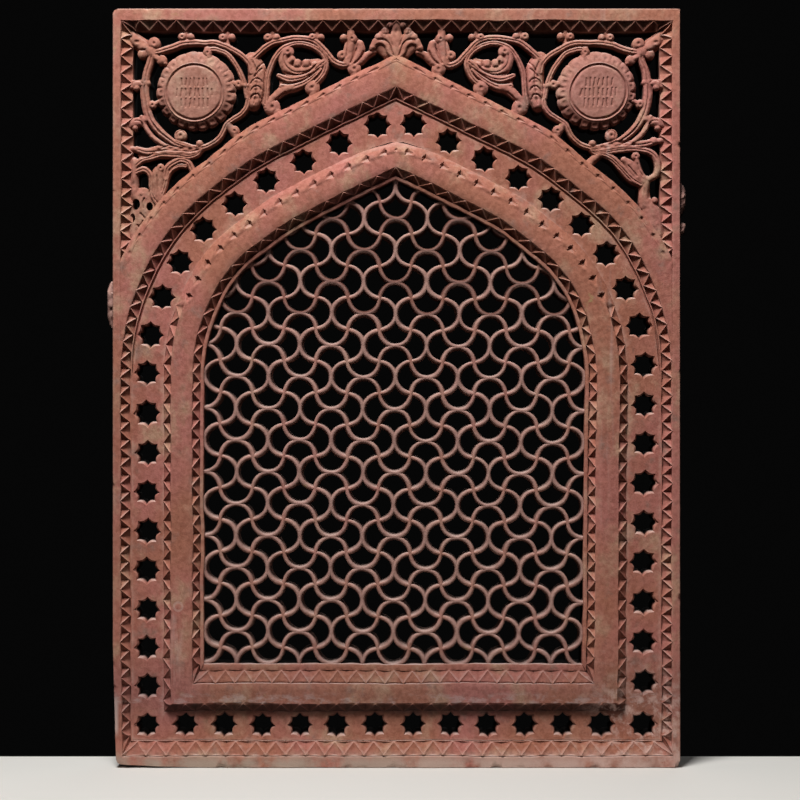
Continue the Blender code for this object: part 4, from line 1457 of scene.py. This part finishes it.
def carve(out, down, parts, crest):
    # gap is how far each place lies outside the stone and depth how far the stone's face lies below
    # the slab's, both in millimetres. Stems are rounded across, long ones with a groove along their
    # middle, lobes are domes, webs lie deeper, and the highest wins
    gap = np.full(out.shape, 20.0)
    depth = np.full(out.shape, 24.0)
    fall, steep = spandrel["fall"] * 1000, spandrel["steep"]
    for place, (widths, *points) in enumerate(parts["webs"] + parts["stems"]):
        near = nearBox(out, down, points, 22 + max(widths))
        line = smoothLine(points, spandrel["smooth"])
        reach, share = alongLine(out[near], down[near], line)
        half = np.interp(share, np.linspace(0, 1, len(widths)), widths) if len(widths) > 1 else widths[0]
        t = reach / half
        face = crest + fall * np.minimum(t, 1) ** 2.4 + steep * np.maximum(reach - half, 0)
        if place < len(parts["webs"]):
            face = face + spandrel["webDeeper"] * 1000
        elif np.hypot(*np.diff(line, axis=0).T).sum() > spandrel["splitOver"] * 1000:
            face = face + spandrel["split"] * 1000 * np.exp(-(reach / 1.3) ** 2)
        gap[near] = np.minimum(gap[near], reach - half)
        depth[near] = np.minimum(depth[near], face)
    for x, y, size, eye in parts["lobes"]:
        near = nearBox(out, down, [(x, y)], 12 + size)
        reach = np.hypot(out[near] - x, down[near] - y)
        face = crest - 1.2 + fall * np.minimum(reach / size, 1) ** 2.2 + steep * np.maximum(reach - size, 0)
        if eye:
            face = face + 3.2 * np.exp(-(reach / eye) ** 2)
            depth[near] = np.where(reach < 2 * eye, np.maximum(depth[near], face), depth[near])
        gap[near] = np.minimum(gap[near], reach - size)
        depth[near] = np.minimum(depth[near], face)
    for cut, half, *points in parts["grooves"]:
        near = nearBox(out, down, points, 8)
        reach, share = alongLine(out[near], down[near], smoothLine(points, spandrel["smooth"]))
        fade = np.clip(np.minimum(share, 1 - share) / 0.12, 0, 1)
        depth[near] += cut * np.exp(-(reach / half) ** 2) * fade
    for x, y, wide, high, cut in parts["pits"]:
        depth += cut * np.exp(-((out - x) / wide) ** 2 - ((down - y) / high) ** 2)
    for x, y, wide, high in parts["openings"]:
        inside = 1 - np.hypot((out - x) / wide, (down - y) / high)
        gap = np.maximum(gap, inside * min(wide, high))
    return gap, depth


# corners and edge crossings of a cell, by name, for each of the sixteen ways that stone can fill it
cellCases = {
    1: "aew", 2: "bse", 4: "cns", 8: "dwn", 3: "abs asw", 6: "bcn bne", 12: "cdw cws", 9: "aen and",
    5: "aew cns", 10: "bse dwn", 7: "abc acn anw", 11: "abs asn and", 13: "aes asc acd", 14: "bcd bdw bwe",
    15: "abc acd",
}


def outlineCells(gap):
    # triangles that fill the grid where gap is below 0, cut along its zero line: corner numbers first,
    # then crossings on edges along the columns, then on edges along the rows; shares are their places
    rows, columns = gap.shape
    count = rows * columns
    numbers = np.arange(count).reshape(rows, columns)
    solid = gap < 0
    across = np.clip(gap[:, :-1] / (gap[:, :-1] - gap[:, 1:] + 1e-12), 0.08, 0.92)
    upward = np.clip(gap[:-1] / (gap[:-1] - gap[1:] + 1e-12), 0.08, 0.92)
    corner = {"a": numbers[:-1, :-1], "b": numbers[:-1, 1:], "c": numbers[1:, 1:], "d": numbers[1:, :-1],
              "e": numbers[:-1, :-1] + count, "n": numbers[1:, :-1] + count,
              "w": numbers[:-1, :-1] + 2 * count, "s": numbers[:-1, 1:] + 2 * count}
    state = solid[:-1, :-1] + 2 * solid[:-1, 1:] + 4 * solid[1:, 1:] + 8 * solid[1:, :-1]
    faces = []
    for case, text in cellCases.items():
        here = state == case
        for names in text.split():
            faces.append(np.stack([corner[name][here] for name in names], -1))
    return np.vstack(faces), across, upward


def turned(x, y, triangles):
    # above 0 where a flat triangle's corners run anticlockwise
    ax, bx, cx = (x[triangles[..., place]] for place in range(3))
    ay, by, cy = (y[triangles[..., place]] for place in range(3))
    return (bx - ax) * (cy - ay) - (by - ay) * (cx - ax)


def fieldAt(field, x, y, columnX, rowY):
    # a field on an even grid, read between its corners in proportion to how near each is
    rows, columns = field.shape
    column = np.clip((x - columnX[0]) / (columnX[1] - columnX[0]), 0, columns - 1.001)
    row = np.clip((y - rowY[0]) / (rowY[1] - rowY[0]), 0, rows - 1.001)
    c, r = column.astype(int), row.astype(int)
    u, v = column - c, row - r
    return (field[r, c] * (1 - u) * (1 - v) + field[r, c + 1] * u * (1 - v)
            + field[r + 1, c] * (1 - u) * v + field[r + 1, c + 1] * u * v)


def openRelief(out, down, gap, depth, name, flip, material, backDepth):
    # a pierced relief: its carved face, walls down the zero line of gap, and a flat back
    faces, across, upward = outlineCells(gap)
    fields = []
    for values in (out, down, depth):
        alongColumn = np.zeros(gap.shape)
        alongColumn[:, :-1] = values[:, :-1] + (values[:, 1:] - values[:, :-1]) * across
        alongRow = np.zeros(gap.shape)
        alongRow[:-1] = values[:-1] + (values[1:] - values[:-1]) * upward
        fields.append(np.concatenate([values.ravel(), alongColumn.ravel(), alongRow.ravel()]))
    used, faces = np.unique(faces, return_inverse=True)
    faces = faces.reshape(-1, 3)
    x, y, z = (values[used] for values in fields)
    # an edge of one triangle only is on the outline
    edges = np.concatenate([faces[:, [0, 1]], faces[:, [1, 2]], faces[:, [2, 0]]])
    span = len(used) + 1
    lonely = edges[~np.isin(edges[:, 0] * span + edges[:, 1], edges[:, 1] * span + edges[:, 0])]
    rim, places = np.unique(lonely, return_inverse=True)
    places = places.reshape(-1, 2)
    first, second = places.T
    rimX, rimY, rimDepth = x[rim], y[rim], z[rim]
    # the walls go down in four steps, each of them deeper than the last at every place
    levels = [np.minimum(rimDepth + 2.0, 20.5), np.full_like(rimDepth, 21.0), np.full_like(rimDepth, 32.0)]
    levels = [np.maximum(level, rimDepth + 0.3 * (step + 1)) for step, level in enumerate(levels)]
    levels.append(np.full_like(rimDepth, backDepth))
    allFaces = [faces]
    upper = rim
    for step in range(len(levels)):
        lower = len(used) + step * len(rim) + np.arange(len(rim))
        allFaces.append(np.stack([upper[second], upper[first], lower[first]], -1))
        allFaces.append(np.stack([upper[second], lower[first], lower[second]], -1))
        upper = lower
    # the back is triangles between the rim's points, of which those over stone are kept
    flat = [Vector((float(a), float(b))) for a, b in zip(rimX, rimY)]
    ties = [(int(a), int(b)) for a, b in places]
    _, _, cap, origin, _, _ = delaunay_2d_cdt(flat, ties, [], 1, 0.00001)
    back = np.array([[origin[corner][0] for corner in triangle] for triangle in cap if len(triangle) == 3])
    level = fieldAt(gap, rimX[back].mean(1), rimY[back].mean(1), out[0], down[:, 0])
    # turned like the front first, so that a triangle on the outline shows which side of it the stone is
    alike = turned(rimX, rimY, back) * turned(x, y, faces[0]) > 0
    back = np.where(alike[:, None], back, back[:, ::-1])
    sides = back * span + back[:, [1, 2, 0]]
    onStone = np.isin(sides, first * span + second).any(1)
    onAir = np.isin(sides, second * span + first).any(1)
    back = back[onStone | (~onAir & (level < 0))][:, ::-1]
    allFaces.append(upper[back])
    x = np.concatenate([x, np.tile(rimX, len(levels))])
    y = np.concatenate([y, np.tile(rimY, len(levels))])
    z = np.concatenate([z, *levels])
    points = np.stack([-flip * x / 1000, frontY + z / 1000, topZ - y / 1000], -1)
    addPiece(name, points, np.vstack(allFaces), material, ashen=spandrel["ashen"])


def makeSpandrels(material):
    # the field over the arch: two halves that mirror each other but for their lower corners
    step = spandrel["grid"] * 1000
    out, down = np.meshgrid(np.arange(28.0, 476.0, step), np.arange(30.0, 404.0, step))
    # nothing outside the band's outer edge or inside the border is needed
    x, z = out / 1000, topZ - down / 1000
    dx, dz = x - arch["centreX"], z - arch["springZ"]
    bend = np.minimum(np.arctan2(dz, dx), archTurn)
    past = np.where(np.arctan2(dz, dx) < archTurn, np.hypot(dx, dz),
                    dx * math.cos(archTurn) + dz * math.sin(archTurn)) - arch["radius"] + shoulder(bend)
    band = -archBand["outer"] + archBand["higher"] * np.clip((bend - 0.93) / 0.20, 0, 1)
    border = outerFrame["zigzagEnd"]
    under = np.maximum(x - (halfWidth - border[0]), z - (topZ - border[1])) * 1000
    beyond = np.maximum((band - 0.009 - past) * 1000, under - 8)
    places = np.stack([out, down, 0 * out], -1).reshape(-1, 3) / 1000
    # faces sink where they run under the border, and wander a little everywhere
    sunk = np.clip(under + 1.0, 0, 9) * 0.55
    sunk += (0.30 * waves(places, 0.016, 61) + 0.16 * waves(places, 0.006, 62)).reshape(out.shape)
    for title, flip, corner in (("left_spandrel", 1, leftCorner), ("right_spandrel", -1, rightCorner)):
        parts = {name: bothSides[name] + corner[name] for name in bothSides}
        gap, depth = carve(out, down, parts, spandrel["crest"] * 1000)
        openRelief(out, down, np.maximum(gap, beyond), depth + sunk, title, flip, material,
                   spandrel["back"] * 1000)


# ---- the palmette over the apex ----

palmette = {
    "crest": 0.0036,
    "back": 0.0732,
    # from this far down it sinks under the band
    "sinksFrom": 0.080,
    "parts": {
        "webs": (((16, 20, 12), (0, 84), (8, 70), (26, 62)),),
        "stems": (
            ((10, 13, 13, 8, 5), (0, 88), (0, 63), (0, 42), (0, 25), (0, 19)),
            ((9, 12, 10, 7), (0, 82), (9, 64), (16, 51), (25, 44)),
            ((4.4,), (2, 86), (12, 75), (16.5, 64), (25, 57.5), (35, 59), (42, 67)),
            ((6, 5), (36, 56), (42, 68)),
            ((7, 9), (0, 84), (0, 108)),
        ),
        "lobes": ((30, 49, 7.5, 0), (41, 66, 5.5, 0), (20, 39, 7, 0), (11, 28, 6, 0)),
        "grooves": (
            (2.8, 1.5, (33, 53), (22, 52.5), (12.5, 60), (7.5, 73), (3, 84)),
            (2.2, 1.4, (11, 24), (14.5, 36), (11, 50), (5, 66)),
            (1.8, 1.3, (22, 35), (21, 44)),
        ),
        "pits": ((0, 39, 3.0, 5.0, 2.4),),
        "openings": (),
    },
}


def makePalmette(material):
    # both halves alike, so it is carved by the distance out on either side
    step = spandrel["grid"] * 1000
    out, down = np.meshgrid(np.arange(-56.0, 57.0, step), np.arange(8.0, 112.0, step))
    gap, depth = carve(np.abs(out), down, palmette["parts"], palmette["crest"] * 1000)
    depth = depth + np.clip(down - palmette["sinksFrom"] * 1000, 0, 20) * 0.35
    openRelief(out, down, gap, depth, "apex_palmette", 1, material, palmette["back"] * 1000)


# ---- the medallions ----

medallion = {
    "x": 0.3430,
    "z": 1.1600,
    "disc": 0.0684,
    # the roundel isn't quite in the disc's middle: how far out, and how far up
    "roundelX": 0.0038,
    "roundelZ": -0.0028,
    "roundel": 0.0496,
    "petals": 21,
    "around": 336,
    # the cuts: rows, the space between rows and between cuts, how far out they go, and their depth
    "strokeRows": 3,
    "rowPitch": 17.5,
    "strokePitch": 7.4,
    "strokeReach": 36.0,
    "strokeDepth": 1.7,
    # the wall's depths in millimetres, and how much smaller it is from the second on
    "wall": (16.5, 21.0, 32.0, 73.0),
    "wallInset": 0.0012,
    "ashen": 0.35,
    # how strongly painted shade darkens the lower petals
    "lowPetalShade": 0.90,
}


def rowStrokes(chance):
    # rows of short slanted cuts, none of them a letter: millimetres from the roundel's middle
    cuts = []
    rows, pitch = medallion["strokeRows"], medallion["strokePitch"]
    for row in range(rows):
        level = medallion["rowPitch"] * ((rows - 1) / 2 - row)
        reach = math.sqrt(max(medallion["strokeReach"] ** 2 - (abs(level) + 6) ** 2, 0))
        count = int(2 * reach / pitch)
        for place in range(count):
            x = (place - (count - 1) / 2) * pitch + chance.uniform(-0.8, 0.8)
            tall = chance.uniform(4.6, 7.0)
            lean = chance.uniform(-0.9, 0.9)
            cuts.append((chance.uniform(1.1, 1.5), (x - lean, level - tall), (x + lean * 0.4, level),
                         (x + lean, level + tall)))
    return cuts


def makeMedallion(name, side, seed, material):
    # rings from the middle out: the roundel with its cuts and its ring groove, a ring of petals that
    # rounds down to a scalloped rim, the wall, and the back; depths are in millimetres
    chance = np.random.default_rng(seed)
    count = medallion["around"]
    turn = math.tau * np.arange(count) / count
    away = np.stack([np.cos(turn), np.sin(turn)])
    # the petals are only dimples at the top and stand apart towards the foot
    bump = np.abs(np.sin(turn * medallion["petals"] / 2))
    low = 0.5 - 0.5 * np.sin(turn)
    # distance from the roundel's middle to the disc's rim, which has its own middle
    shift = np.array([-side * medallion["roundelX"], -medallion["roundelZ"]])
    toDisc = shift @ away
    size = medallion["disc"] - (0.0012 + 0.0022 * low) * (1 - bump ** 0.6)
    rim = toDisc + np.sqrt(size ** 2 - (shift @ shift - toDisc ** 2))
    # the roundel: a nearly flat face with a ring groove near its edge, and the cuts
    inner = medallion["roundel"] * (1 + 0.004 * np.sin(3 * turn + seed))
    shares = np.concatenate([np.arange(1, 37) / 37 * 0.90, [0.915, 0.93, 0.945, 0.96, 0.98, 1.0]])[:, None]
    faceRadii = shares * inner
    face = 0.9 + 0.5 * shares ** 4 + 3.2 * np.exp(-((shares - 0.940) / 0.036) ** 2) + 0 * faceRadii
    x, y = faceRadii * away[0] * 1000, faceRadii * away[1] * 1000
    for half, *line in rowStrokes(chance):
        near = nearBox(x, y, line, 4)
        reach, _ = alongLine(x[near], y[near], smoothLine(line, 4))
        face[near] += medallion["strokeDepth"] * np.exp(-(reach / half) ** 2)
    # the petals: v runs from the roundel to the rim. Each falls away towards the rim, a dimple lies in
    # its middle, and the clefts between them are deepest low down
    v = np.concatenate([[0.02, 0.05], np.arange(1, 19) / 19 * 0.98, [1.0]])[:, None]
    cleft = np.exp(-(bump / 0.34) ** 2) * (0.5 + 3.4 * low)
    dimple = np.exp(-((v - 0.46) / 0.17) ** 2) * np.exp(-((1 - bump) / 0.16) ** 2)
    ring = (3.2 - 2.0 * np.exp(-(v / 0.06) ** 2) + 0.6 * v + 9.4 * v ** 2.1
            + 1.9 * dimple * (1.15 - 0.6 * low)
            + cleft * np.clip((v - 0.25) / 0.4, 0, 1) * np.clip((1.06 - v) / 0.2, 0, 1)
            - 3.4 * low * np.exp(-((v - 0.80) / 0.15) ** 2) * np.exp(-((1 - bump) / 0.4) ** 2))
    wall = np.array(medallion["wall"])[:, None]
    inset = np.where(np.arange(len(wall)) > 0, medallion["wallInset"], 0.0)[:, None]
    radius = np.vstack([faceRadii, inner + (rim - inner) * v, rim - inset])
    depth = np.vstack([face, ring, wall + 0 * rim])
    centreX = side * (medallion["x"] + medallion["roundelX"])
    centreZ = medallion["z"] + medallion["roundelZ"]
    points = np.stack([centreX + radius * away[0], frontY + depth / 1000, centreZ + radius * away[1]], -1)
    points = points.reshape(-1, 3)
    # a point in the middle of the face and one in the middle of the back close the rings
    middle = len(points)
    points = np.vstack([points, [(centreX, frontY + 0.0009, centreZ),
                                 (centreX, frontY + medallion["wall"][-1] / 1000, centreZ)]])
    here = np.arange(count)
    after = (here + 1) % count
    last = middle - count
    faces = np.vstack([splitCells(gridCells(*radius.shape, closeRows=False)),
                       np.stack([here * 0 + middle, after, here], -1),
                       np.stack([here * 0 + middle + 1, last + here, last + after], -1)])
    # painted shade lies on the petals round the foot, laid in with the dirt of the hollows
    fromCentre = np.hypot(points[:, 0] - centreX, points[:, 2] - centreZ)
    lowPetalShade = np.clip((centreZ - 0.002 - points[:, 2]) / 0.034, 0, 1) * np.clip(
        (fromCentre / medallion["roundel"] - 1.0) / 0.10, 0, 1)
    return addPiece(name, points, faces, material, ashen=medallion["ashen"], dirt=medallion["lowPetalShade"] * lowPetalShade)


# ---- rough stubs left on the edges ----

stubs = {
    # each is its name, its side, its height up the slab, how tall it is, and its seed
    "places": (
        ("left_stub", -1, 0.793, 0.078, 41),
        ("right_stub", 1, 0.975, 0.052, 42),
        ("right_small_stub", 1, 0.924, 0.022, 43),
    ),
    "halfWidth": 0.0130,
    "halfDepth": 0.026,
    "behindFace": 0.036,
    "buried": 0.0015,
    "fromBox": 0.0004,
    "blocky": 3.4,
    "around": 40,
    "up": 24,
    "ashen": 0.8,
}


def makeStubs(material):
    # squarish lumps: in every direction the summed powers of its three parts, rooted again, set how far
    # out the surface lies, which keeps them blocky
    power = stubs["blocky"]
    turn = math.tau * np.arange(stubs["around"]) / stubs["around"]
    rise = np.linspace(-math.pi / 2, math.pi / 2, stubs["up"])[:, None]
    way = np.stack([np.cos(rise) * np.cos(turn), np.cos(rise) * np.sin(turn), np.sin(rise) + 0 * turn], -1)
    way = (way / (np.abs(way) ** power).sum(-1, keepdims=True) ** (1 / power)).reshape(-1, 3)
    cells = splitCells(gridCells(stubs["up"], stubs["around"], closeRows=False))
    reach = stubs["fromBox"]
    for name, side, level, tall, seed in stubs["places"]:
        points = way * (stubs["halfWidth"], stubs["halfDepth"], tall / 2)
        rough = 0.10 * waves(points + seed, 0.02, seed) + 0.05 * waves(points + seed, 0.007, seed)
        points = points * (1 + rough)[:, None]
        points = points + (side * (halfWidth - stubs["buried"]), frontY + stubs["behindFace"], level)
        points[:, 0] = np.clip(points[:, 0], lowCorner.x + reach, highCorner.x - reach)
        addPiece(name, *weld(points, cells), material, sharp=60.0, cut=False, ashen=stubs["ashen"])


# ---- go ----

addStudio()
sandstone = makeSandstone()
print("studio and stone ready")
for make in (makeOuterFrame, makeArchBand, makeOuterZigzag, makeStarBand, makeInnerBand, makeInnerZigzag,
             makeLattice, makeSpandrels, makePalmette):
    make(sandstone)
makeMedallion("left_medallion", -1, 51, sandstone)
makeMedallion("right_medallion", 1, 52, sandstone)
makeStubs(sandstone)
print(f"{totals['triangles']} triangles in all")
